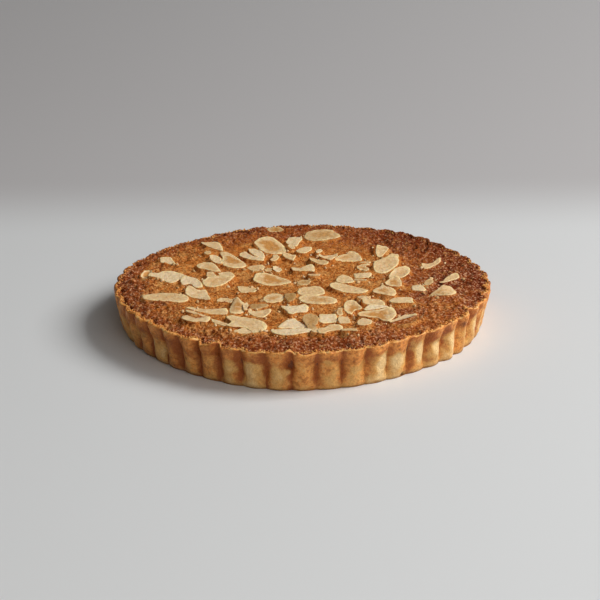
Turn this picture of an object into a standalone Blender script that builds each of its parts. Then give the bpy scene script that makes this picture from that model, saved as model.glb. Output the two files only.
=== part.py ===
"""Bakewell tart: a fluted shortcrust case filled with baked frangipane and topped with flaked almonds.

Metres, +Z up. The origin is the centre of the flat base, -Y is the front of the tart.
Nodes: pastry_case (the fluted shell with its floor) and frangipane (the solid filling with its almonds).
"""
import math
import random

import bmesh
import bpy
from mathutils import Matrix, Vector, noise

# Overall sizes of the tart
MM = 0.001
RIM_RADIUS = 113.0 * MM
BASE_RADIUS = 107.7 * MM
WALL_HEIGHT = 24.4 * MM
FLUTE_COUNT = 48
FLUTE_TURN = -0.0624
FLUTE_DEPTH_RIM = 3.5 * MM
FLUTE_DEPTH_BASE = 2.7 * MM
FLUTE_ROUNDNESS = 0.62
INNER_RIM_RADIUS = 108.0 * MM
INNER_BASE_RADIUS = 103.0 * MM
FLOOR_THICKNESS = 3.0 * MM
GAP = 0.3 * MM

# Slow waves in the plan of the tart: waves per turn, cosine share, sine share
PLAN_WAVES = (
    (2, -0.0005, -0.0068),
    (3, 0.0055, 0.0017),
    (4, 0.0146, -0.0030),
)

# Pastry case mesh and rim
COLUMNS_PER_FLUTE = 6
BASE_BEVEL = 1.0 * MM
WALL_BULGE = 0.25 * MM
RIM_SHOULDER = 1.5 * MM
RIM_ROUND = 0.45 * MM
RIM_INNER_DROP = 0.6 * MM
RIM_WAVE = 0.25 * MM
RIM_CRUMBLE = 0.12 * MM
RIM_SEED = 7

# Filling mesh and surface relief
FILL_RINGS = 20
FILL_RING_SPREAD = 0.14
CRAG_COARSE = 0.55 * MM
CRAG_COARSE_SIZE = 17.0 * MM
CRAG_FINE = 0.40 * MM
CRAG_FINE_SIZE = 6.0 * MM
EDGE_FADE = 6.0 * MM

# Section of the filling's top: radius before the plan waves, height (mm)
FILL_SECTION = (
    (0.0, 24.2),
    (40.0, 24.3),
    (68.0, 24.5),
    (82.0, 25.3),
    (91.0, 25.5),
    (98.0, 25.0),
    (103.0, 24.0),
    (108.0, 22.6),
)

# Broad swellings and hollows of the filling: x, y, size along x, size along y, turn, height (mm, degrees)
SWELLINGS = (
    (76.0, 63.0, 18.0, 4.5, -38.0, 1.4),
    (86.0, 66.0, 17.0, 3.5, -38.0, -1.2),
    (45.0, -91.0, 24.0, 9.0, 24.0, 1.3),
    (-62.0, -80.0, 26.0, 5.5, -37.0, -1.0),
    (93.0, -6.0, 5.0, 12.0, 0.0, -1.3),
    (30.0, 95.0, 22.0, 7.0, -14.0, 0.6),
    (-70.0, 55.0, 16.0, 10.0, 35.0, 0.5),
)

# Almond slices
SLICE_RISE = 0.40 * MM
SLICE_BODY = 0.9 * MM
SLICE_ROOT = 1.6 * MM
SLICE_TAPER = 0.20
SLICE_POINTS = {"whole": 12, "broken": 10, "shard": 8, "chip": 7}
# Breaks of a slice: share kept at the blunt end, share kept at the pointed end, slant of the breaks
SLICE_BREAKS = {
    "whole": (1.0, 1.0, 0.0),
    "broken": (0.35, 1.0, 0.20),
    "shard": (0.62, 0.60, -0.18),
    "chip": (0.30, 0.95, 0.55),
}

# Where the slices lie: x, y, length, width (mm), turn, tilt up at the back (degrees), kind
SLICES = (
    (-17.0, 99.5, 12.0, 8.5, -3.0, 6.0, "whole"),
    (13.0, 83.8, 24.0, 15.2, 3.0, 8.0, "whole"),
    (-19.7, 65.0, 25.0, 16.5, -43.0, 10.0, "whole"),
    (-4.3, 72.0, 11.5, 14.0, 12.0, 8.0, "shard"),
    (1.5, 59.5, 11.5, 8.0, 10.0, 7.0, "whole"),
    (10.5, 57.0, 6.0, 5.0, 0.0, 5.0, "chip"),
    (16.5, 46.5, 13.5, 8.0, 0.0, 6.0, "shard"),
    (29.5, 45.0, 18.0, 13.0, 4.0, 8.0, "broken"),
    (39.0, 34.0, 8.0, 2.5, 3.0, 2.0, "shard"),
    (38.3, 24.5, 10.5, 6.5, -6.0, 4.0, "chip"),
    (50.3, 54.0, 14.0, 9.5, -84.0, 9.0, "broken"),
    (54.0, 34.5, 22.0, 12.0, 62.0, 7.0, "whole"),
    (52.5, 31.0, 24.5, 13.5, 58.0, 8.0, "whole"),
    (61.2, 17.0, 15.0, 9.0, 45.0, 8.0, "broken"),
    (58.0, 1.5, 13.5, 13.0, -55.0, 8.0, "broken"),
    (37.0, 11.5, 12.0, 7.0, 2.0, 4.0, "shard"),
    (36.5, 4.0, 8.5, 2.2, -3.0, 1.0, "shard"),
    (25.8, 5.5, 11.5, 9.5, -15.0, 5.0, "broken"),
    (27.3, -10.5, 25.0, 11.0, -17.0, 4.0, "whole"),
    (49.7, -18.5, 14.5, 12.0, -8.0, 7.0, "broken"),
    (69.7, -12.5, 9.5, 7.0, -8.0, 4.0, "shard"),
    (75.8, -2.5, 6.5, 5.5, 25.0, 4.0, "chip"),
    (80.0, 27.5, 13.0, 6.5, 24.0, 8.0, "shard"),
    (88.3, 1.5, 16.0, 4.8, 213.0, 8.0, "broken"),
    (84.0, -22.5, 16.0, 11.0, 14.0, 9.0, "whole"),
    (75.5, -25.5, 6.0, 5.5, 55.0, 5.0, "chip"),
    (-82.0, -26.0, 26.5, 12.5, -2.0, 5.0, "whole"),
    (-99.5, 15.0, 10.0, 9.0, 5.0, 8.0, "whole"),
    (-89.0, 14.0, 11.0, 5.0, -8.0, 4.0, "shard"),
    (-79.0, 10.0, 19.0, 12.5, -14.0, 8.0, "broken"),
    (-66.5, 0.0, 14.5, 12.0, -45.0, 8.0, "broken"),
    (-62.0, -18.0, 19.0, 10.5, -46.0, 7.0, "broken"),
    (-57.0, 67.5, 13.5, 8.0, -22.0, 6.0, "chip"),
    (-60.0, 53.0, 5.5, 4.5, 10.0, 3.0, "chip"),
    (-83.5, 39.0, 10.5, 9.0, -28.0, 5.0, "chip"),
    (-53.8, 41.0, 10.0, 8.5, -35.0, 6.0, "whole"),
    (-57.8, 28.5, 14.5, 10.0, -20.0, 6.0, "broken"),
    (-42.0, 37.0, 24.0, 15.0, -43.0, 8.0, "whole"),
    (-33.0, 46.0, 19.0, 9.0, -28.0, 6.0, "broken"),
    (-28.0, 49.5, 14.5, 9.0, -50.0, 9.0, "broken"),
    (-31.0, 25.5, 11.5, 6.5, 8.0, 3.0, "shard"),
    (-56.5, 14.5, 10.0, 8.0, 60.0, 4.0, "broken"),
    (-51.5, 2.5, 21.0, 13.5, 28.0, 8.0, "whole"),
    (-47.0, 14.5, 11.0, 7.0, 2.0, 5.0, "whole"),
    (-18.7, 4.0, 24.0, 14.4, -9.0, 8.0, "whole"),
    (-17.5, 45.0, 7.5, 6.5, 60.0, 4.0, "chip"),
    (-8.5, 46.5, 10.0, 6.5, -28.0, 5.0, "broken"),
    (-18.5, 25.5, 6.0, 3.5, -35.0, 8.0, "chip"),
    (-14.0, 22.5, 6.0, 3.5, 10.0, 8.0, "chip"),
    (0.5, 25.0, 16.0, 7.5, 9.0, 5.0, "broken"),
    (7.0, 14.3, 8.5, 2.2, 2.0, 1.0, "shard"),
    (6.0, 41.0, 9.5, 6.0, -10.0, 3.0, "chip"),
    (0.0, 0.0, 11.5, 7.0, 3.0, 2.0, "whole"),
    (-34.0, -11.0, 11.5, 9.0, -4.0, 4.0, "shard"),
    (-17.7, -27.5, 13.5, 11.0, 6.0, 5.0, "shard"),
    (-7.5, -24.0, 8.5, 8.0, 30.0, 2.0, "chip"),
    (4.5, -15.0, 16.5, 10.5, 2.0, 5.0, "whole"),
    (8.5, -30.5, 24.0, 12.5, -3.0, 6.0, "whole"),
    (36.0, -26.5, 9.5, 6.0, -14.0, 4.0, "chip"),
    (30.8, -46.0, 14.5, 12.5, -58.0, 8.0, "broken"),
    (42.0, -36.0, 15.0, 9.0, -4.0, 4.0, "shard"),
    (42.0, -44.0, 14.0, 8.5, 8.0, 5.0, "broken"),
    (58.3, -32.5, 15.5, 8.5, 183.0, 4.0, "broken"),
    (42.7, -53.0, 24.0, 12.5, 10.0, 6.0, "whole"),
    (50.5, -64.5, 12.5, 6.0, 12.0, 4.0, "shard"),
    (57.0, -64.5, 15.0, 2.6, 38.0, 3.0, "shard"),
    (62.8, -57.0, 8.5, 2.4, 6.0, 3.0, "shard"),
    (35.7, -69.5, 9.0, 8.5, -5.0, 4.0, "broken"),
    (23.3, -64.3, 8.5, 8.0, -10.0, 4.0, "shard"),
    (20.3, -53.0, 8.0, 3.0, 80.0, 3.0, "chip"),
    (14.3, -62.3, 12.0, 9.5, -2.0, 5.0, "shard"),
    (17.0, -80.5, 18.0, 8.5, 4.0, 4.0, "broken"),
    (27.0, -82.5, 9.5, 3.0, -12.0, 2.0, "shard"),
    (-5.0, -47.5, 16.0, 9.0, -5.0, 4.0, "broken"),
    (-26.5, -40.0, 12.5, 4.5, 14.0, 5.0, "shard"),
    (-25.0, -51.5, 15.5, 10.0, -9.0, 6.0, "broken"),
    (-46.5, -30.5, 11.5, 6.5, 4.0, 5.0, "chip"),
    (-39.0, -44.5, 15.5, 12.0, 75.0, 8.0, "whole"),
    (-34.0, -44.0, 7.0, 5.0, -40.0, 8.0, "chip"),
    (-59.5, -45.0, 22.0, 4.0, -18.0, 3.0, "shard"),
    (-54.0, -50.5, 21.0, 6.0, -4.0, 4.0, "shard"),
    (-31.0, -83.0, 17.0, 6.5, 2.0, 3.0, "whole"),
    (-32.5, -71.5, 27.0, 13.5, -22.0, 7.0, "whole"),
    (-49.0, -68.0, 13.5, 5.0, -24.0, 3.0, "shard"),
    (-63.0, -63.0, 15.5, 8.0, -8.0, 5.0, "shard"),
    (-8.0, -84.0, 20.0, 7.5, 3.0, 4.0, "whole"),
    (-8.5, -70.5, 17.0, 12.0, 14.0, 8.0, "broken"),
    (6.5, -81.0, 14.0, 8.0, 0.0, 4.0, "chip"),
    (5.2, -66.5, 12.5, 10.5, -60.0, 8.0, "whole"),
)


def plan_scale(turn):
    """Share by which the plan of the tart grows at an azimuth counted from the front towards +X."""
    scale = 1.0
    for waves, cosine, sine in PLAN_WAVES:
        scale += cosine * math.cos(waves * turn) + sine * math.sin(waves * turn)
    return scale


def at_azimuth(turn, radius, height):
    """Point at an azimuth counted from the front towards +X, with the plan waves in its radius."""
    wide = radius * plan_scale(turn)
    return Vector((wide * math.sin(turn), -wide * math.cos(turn), height))


def flute(turn):
    """0 in the groove between two flutes and 1 on the crest of a flute."""
    along = ((turn - FLUTE_TURN) * FLUTE_COUNT / math.tau) % 1.0
    return math.sin(math.pi * along) ** FLUTE_ROUNDNESS


def rim_height(turn):
    """Height of the rim, which rises and sinks a little round the tart."""
    wave = math.sin(3.0 * turn + 0.6) + 0.6 * math.sin(7.0 * turn + 2.1) + 0.5 * math.sin(13.0 * turn)
    return WALL_HEIGHT + RIM_WAVE * wave


def inner_radius(turn, height):
    """Radius of the case's inner wall at a height, before the plan waves."""
    wall_top = rim_height(turn) - RIM_INNER_DROP
    share = (height - FLOOR_THICKNESS) / (wall_top - FLOOR_THICKNESS)
    share = min(max(share, 0.0), 1.0)
    return INNER_BASE_RADIUS + share * (INNER_RIM_RADIUS - INNER_BASE_RADIUS)


def section_height(radius):
    """Height of the filling's top at a radius, read from the section."""
    reach = radius / MM
    for (r_in, z_in), (r_out, z_out) in zip(FILL_SECTION, FILL_SECTION[1:]):
        if reach <= r_out:
            share = (reach - r_in) / (r_out - r_in)
            return (z_in + (z_out - z_in) * share) * MM
    return FILL_SECTION[-1][1] * MM


def swelling_height(x, y):
    """Sum of the broad swellings and hollows at a point of the filling's top."""
    height = 0.0
    for centre_x, centre_y, size_x, size_y, turn, rise in SWELLINGS:
        c = math.cos(math.radians(turn))
        s = math.sin(math.radians(turn))
        dx = x / MM - centre_x
        dy = y / MM - centre_y
        along = (dx * c + dy * s) / size_x
        across = (dy * c - dx * s) / size_y
        height += rise * MM * math.exp(-0.5 * (along * along + across * across))
    return height


def fill_height(x, y):
    """Height of the filling's top, with its crags."""
    turn = math.atan2(x, -y)
    radius = math.hypot(x, y) / plan_scale(turn)
    coarse = noise.noise(Vector((x, y, 0.0)) / CRAG_COARSE_SIZE)
    fine = noise.noise(Vector((x, y, CRAG_FINE_SIZE)) / CRAG_FINE_SIZE)
    fade = min(1.0, max(0.0, (INNER_RIM_RADIUS - radius) / EDGE_FADE))
    crags = (CRAG_COARSE * coarse + CRAG_FINE * fine) * (0.35 + 0.65 * fade)
    return section_height(radius) + swelling_height(x, y) + crags


def make_material(name, colour, roughness):
    """Plain Principled material."""
    material = bpy.data.materials.new(name)
    material.use_nodes = True
    shader = material.node_tree.nodes["Principled BSDF"]
    shader.inputs["Base Color"].default_value = (*colour, 1.0)
    shader.inputs["Roughness"].default_value = roughness
    shader.inputs["Metallic"].default_value = 0.0
    material.diffuse_color = (*colour, 1.0)
    return material


def new_object(name, bm, material, collection):
    """Object from an edit mesh, with triangle faces all turned outwards."""
    bmesh.ops.triangulate(bm, faces=bm.faces[:])
    bmesh.ops.recalc_face_normals(bm, faces=bm.faces[:])
    mesh = bpy.data.meshes.new(name)
    bm.to_mesh(mesh)
    bm.free()
    mesh.materials.append(material)
    item = bpy.data.objects.new(name, mesh)
    collection.objects.link(item)
    return item


def case_section(turn, crumble):
    """Points of the case's section at an azimuth, from the edge of its base over the rim to its floor."""
    crest = flute(turn)
    top_radius = RIM_RADIUS - FLUTE_DEPTH_RIM * (1.0 - crest)
    low_radius = BASE_RADIUS - FLUTE_DEPTH_BASE * (1.0 - crest)
    height = rim_height(turn) + crumble
    rim = inner_radius(turn, height)
    middle = 0.5 * (top_radius + low_radius) + WALL_BULGE
    return (
        (low_radius - BASE_BEVEL, 0.0),
        (low_radius, BASE_BEVEL),
        (middle, 0.5 * height),
        (top_radius, height - RIM_SHOULDER),
        (top_radius + 0.22 * (rim - top_radius), height - RIM_ROUND),
        (top_radius + 0.60 * (rim - top_radius), height),
        (rim, height - RIM_INNER_DROP),
        (INNER_BASE_RADIUS, FLOOR_THICKNESS),
    )


def build_case(material, collection):
    """The fluted shell: one section for each column, joined round the tart and closed by two floors."""
    rng = random.Random(RIM_SEED)
    bm = bmesh.new()
    columns = []
    count = FLUTE_COUNT * COLUMNS_PER_FLUTE
    for k in range(count):
        turn = FLUTE_TURN + math.tau * k / count
        crumble = RIM_CRUMBLE * rng.uniform(-1.0, 1.0)
        section = case_section(turn, crumble)
        columns.append([bm.verts.new(at_azimuth(turn, radius, height)) for radius, height in section])
    for here, after in zip(columns, columns[1:] + columns[:1]):
        for low in range(len(here) - 1):
            bm.faces.new((here[low], after[low], after[low + 1], here[low + 1]))
    bm.faces.new([column[0] for column in columns])
    bm.faces.new([column[-1] for column in columns])
    return new_object("pastry_case", bm, material, collection)


def build_filling(material, collection):
    """The filling: a disc of even triangles laid over the section, with a side and a flat bottom."""
    bm = bmesh.new()
    bmesh.ops.create_circle(bm, cap_ends=True, cap_tris=True, segments=6, radius=1.0)
    bmesh.ops.subdivide_edges(bm, edges=bm.edges[:], cuts=FILL_RINGS - 1, use_grid_fill=True)
    sector = math.tau / 6.0
    for vert in bm.verts:
        turn = math.atan2(vert.co.x, -vert.co.y)
        away = abs((turn % sector) - 0.5 * sector)
        reach = vert.co.length * math.cos(away) / math.cos(0.5 * sector)
        share = reach * (1.0 + FILL_RING_SPREAD * (1.0 - reach * reach))
        edge_z = fill_height(*at_azimuth(turn, INNER_RIM_RADIUS - GAP, 0.0).xy)
        edge = inner_radius(turn, edge_z) - GAP
        spot = at_azimuth(turn, share * edge, 0.0)
        vert.co = (spot.x, spot.y, fill_height(spot.x, spot.y))
    border = [edge for edge in bm.edges if edge.is_boundary]
    skirt = bmesh.ops.extrude_edge_only(bm, edges=border)["geom"]
    bottom = [item for item in skirt if isinstance(item, bmesh.types.BMVert)]
    for vert in bottom:
        turn = math.atan2(vert.co.x, -vert.co.y)
        vert.co = at_azimuth(turn, INNER_BASE_RADIUS - GAP, FLOOR_THICKNESS + GAP)
    bottom_edges = [item for item in skirt if isinstance(item, bmesh.types.BMEdge) and item.is_boundary]
    bmesh.ops.contextual_create(bm, geom=bottom_edges)
    return new_object("frangipane", bm, material, collection)


def slice_face(bm, length, width, kind):
    """Flat face of one almond slice, its pointed end towards +X, with its ends broken off as its kind has it."""
    blunt, pointed, slant = SLICE_BREAKS[kind]
    bmesh.ops.create_circle(bm, cap_ends=True, segments=SLICE_POINTS[kind], radius=1.0)
    for vert in bm.verts:
        vert.co.y *= 1.0 - SLICE_TAPER * vert.co.x
    for side, kept in ((-1.0, blunt), (1.0, pointed)):
        if kept < 1.0:
            bmesh.ops.bisect_plane(
                bm, geom=bm.verts[:] + bm.edges[:] + bm.faces[:],
                plane_co=(side * kept, 0.0, 0.0), plane_no=(side, slant, 0.0), clear_outer=True)
    low_x = min(vert.co.x for vert in bm.verts)
    high_x = max(vert.co.x for vert in bm.verts)
    low_y = min(vert.co.y for vert in bm.verts)
    high_y = max(vert.co.y for vert in bm.verts)
    for vert in bm.verts:
        vert.co.x = length * ((vert.co.x - low_x) / (high_x - low_x) - 0.5)
        vert.co.y = width * ((vert.co.y - low_y) / (high_y - low_y) - 0.5)


def build_slice(index, layout, lower, material, collection):
    """One slice, rooted in the filling and lying on it or on the slices below it."""
    x, y, length, width, turn, tilt, kind = layout
    bm = bmesh.new()
    slice_face(bm, length * MM, width * MM, kind)
    bmesh.ops.rotate(bm, verts=bm.verts[:], matrix=Matrix.Rotation(math.radians(turn), 3, "Z"))
    outline = [vert.co.xy.copy() for vert in bm.verts]
    depth = max(abs(spot.y) for spot in outline)
    centre = Vector((x * MM, y * MM))
    lift = SLICE_RISE + depth * math.sin(math.radians(tilt))
    for other_centre, other_reach, other_lift in lower:
        if (other_centre - centre).length < 0.62 * (other_reach + 0.5 * width * MM):
            lift = max(lift, other_lift + SLICE_BODY)
    ground = fill_height(centre.x, centre.y)
    lean = Matrix.Rotation(math.radians(tilt), 3, "X")
    for vert in bm.verts:
        vert.co = lean @ vert.co + Vector((centre.x, centre.y, ground + lift))
    root_z = ground - SLICE_ROOT
    grown = bmesh.ops.extrude_face_region(bm, geom=bm.faces[:])["geom"]
    for item in grown:
        if isinstance(item, bmesh.types.BMVert):
            item.co.z = root_z
    lower.append((centre, 0.5 * width * MM, lift))
    return new_object(f"slice_{index:02d}", bm, material, collection)


def fuse(item, pieces):
    """Fuses every object of a collection to the item and removes those objects."""
    join = item.modifiers.new("fuse", "BOOLEAN")
    join.operation = "UNION"
    join.operand_type = "COLLECTION"
    join.collection = pieces
    join.solver = "EXACT"
    bpy.context.view_layer.update()
    depsgraph = bpy.context.evaluated_depsgraph_get()
    fused = bpy.data.meshes.new_from_object(item.evaluated_get(depsgraph))
    item.modifiers.remove(join)
    item.data = fused
    for piece in list(pieces.objects):
        bpy.data.objects.remove(piece, do_unlink=True)
    bpy.data.collections.remove(pieces)


def build():
    """Builds the whole tart."""
    for item in list(bpy.data.objects):
        bpy.data.objects.remove(item, do_unlink=True)
    tart = bpy.data.collections.new("bakewell_tart")
    bpy.context.scene.collection.children.link(tart)
    slices = bpy.data.collections.new("almond_slices")
    bpy.context.scene.collection.children.link(slices)

    crust = make_material("baked_shortcrust", (0.50, 0.235, 0.075), 0.62)
    sponge = make_material("baked_frangipane", (0.36, 0.125, 0.038), 0.70)

    case = build_case(crust, tart)
    filling = build_filling(sponge, tart)
    lower = []
    for index, layout in enumerate(SLICES):
        build_slice(index, layout, lower, sponge, slices)
    fuse(filling, slices)
    for item in (case, filling):
        item.data.shade_smooth()
        item.data.set_sharp_from_angle(angle=math.radians(35.0))


build()
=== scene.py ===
"""Bakewell tart: the baked surfaces, almonds, crumbs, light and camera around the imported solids.

Metres, +Z up. The origin is the centre of the tart's base, -Y is its front, and azimuths ("turn")
are counted in radians from the front towards +X.
"""
import math

import bpy
import numpy as np
from mathutils import Matrix, noise


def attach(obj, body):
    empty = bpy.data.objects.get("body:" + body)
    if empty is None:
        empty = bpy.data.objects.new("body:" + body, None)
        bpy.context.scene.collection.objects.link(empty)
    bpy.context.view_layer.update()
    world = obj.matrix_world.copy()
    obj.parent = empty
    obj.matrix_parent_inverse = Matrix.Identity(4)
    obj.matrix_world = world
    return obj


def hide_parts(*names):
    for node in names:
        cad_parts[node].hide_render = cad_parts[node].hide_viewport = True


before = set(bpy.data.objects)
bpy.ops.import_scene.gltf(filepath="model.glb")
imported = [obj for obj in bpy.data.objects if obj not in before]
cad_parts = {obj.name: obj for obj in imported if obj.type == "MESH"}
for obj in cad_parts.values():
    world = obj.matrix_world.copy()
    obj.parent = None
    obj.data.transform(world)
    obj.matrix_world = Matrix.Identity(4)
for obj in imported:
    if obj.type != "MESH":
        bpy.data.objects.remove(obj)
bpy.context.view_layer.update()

MM = 0.001

# Sizes of the tart in mm and radians, as in the solids
RIM_RADIUS = 113.0
BASE_RADIUS = 107.7
WALL_HEIGHT = 24.4
FLUTE_COUNT = 48
FLUTE_TURN = -0.0624
INNER_RIM_RADIUS = 108.0
INNER_BASE_RADIUS = 103.0
FLOOR_THICKNESS = 3.0
PLAN_WAVES = ((2, -0.0005, -0.0068), (3, 0.0055, 0.0017), (4, 0.0146, -0.0030))
RIM_WAVE = 0.25

# Top of the filling: waves of two sizes that fade at the edge, and height by radius
CRAG_COARSE, CRAG_COARSE_SIZE = 0.55, 17.0
CRAG_FINE, CRAG_FINE_SIZE = 0.40, 6.0
EDGE_FADE = 6.0
FILL_SECTION = (
    (0, 24.2), (40, 24.3), (68, 24.5), (82, 25.3),
    (91, 25.5), (98, 25), (103, 24), (108, 22.6))

# Broad swellings and hollows of the filling: x, y, size along x, size along y, turn, height (mm, degrees)
SWELLINGS = (
    (76, 63, 18, 4.5, -38, 1.4),
    (86, 66, 17, 3.5, -38, -1.2),
    (45, -91, 24, 9, 24, 1.3),
    (-62, -80, 26, 5.5, -37, -1),
    (93, -6, 5, 12, 0, -1.3),
    (30, 95, 22, 7, -14, 0.6),
    (-70, 55, 16, 10, 35, 0.5),
)

# Height of a slice over the filling, height at which the outlines are laid, highest point of any slice,
# lift over the slice below and the most lift (mm)
SLICE_RISE = 0.30
LEVEL = 25.6
HIGHEST = 28.7
PILE_LIFT = 0.55
MOST_LIFT = 2.6

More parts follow.
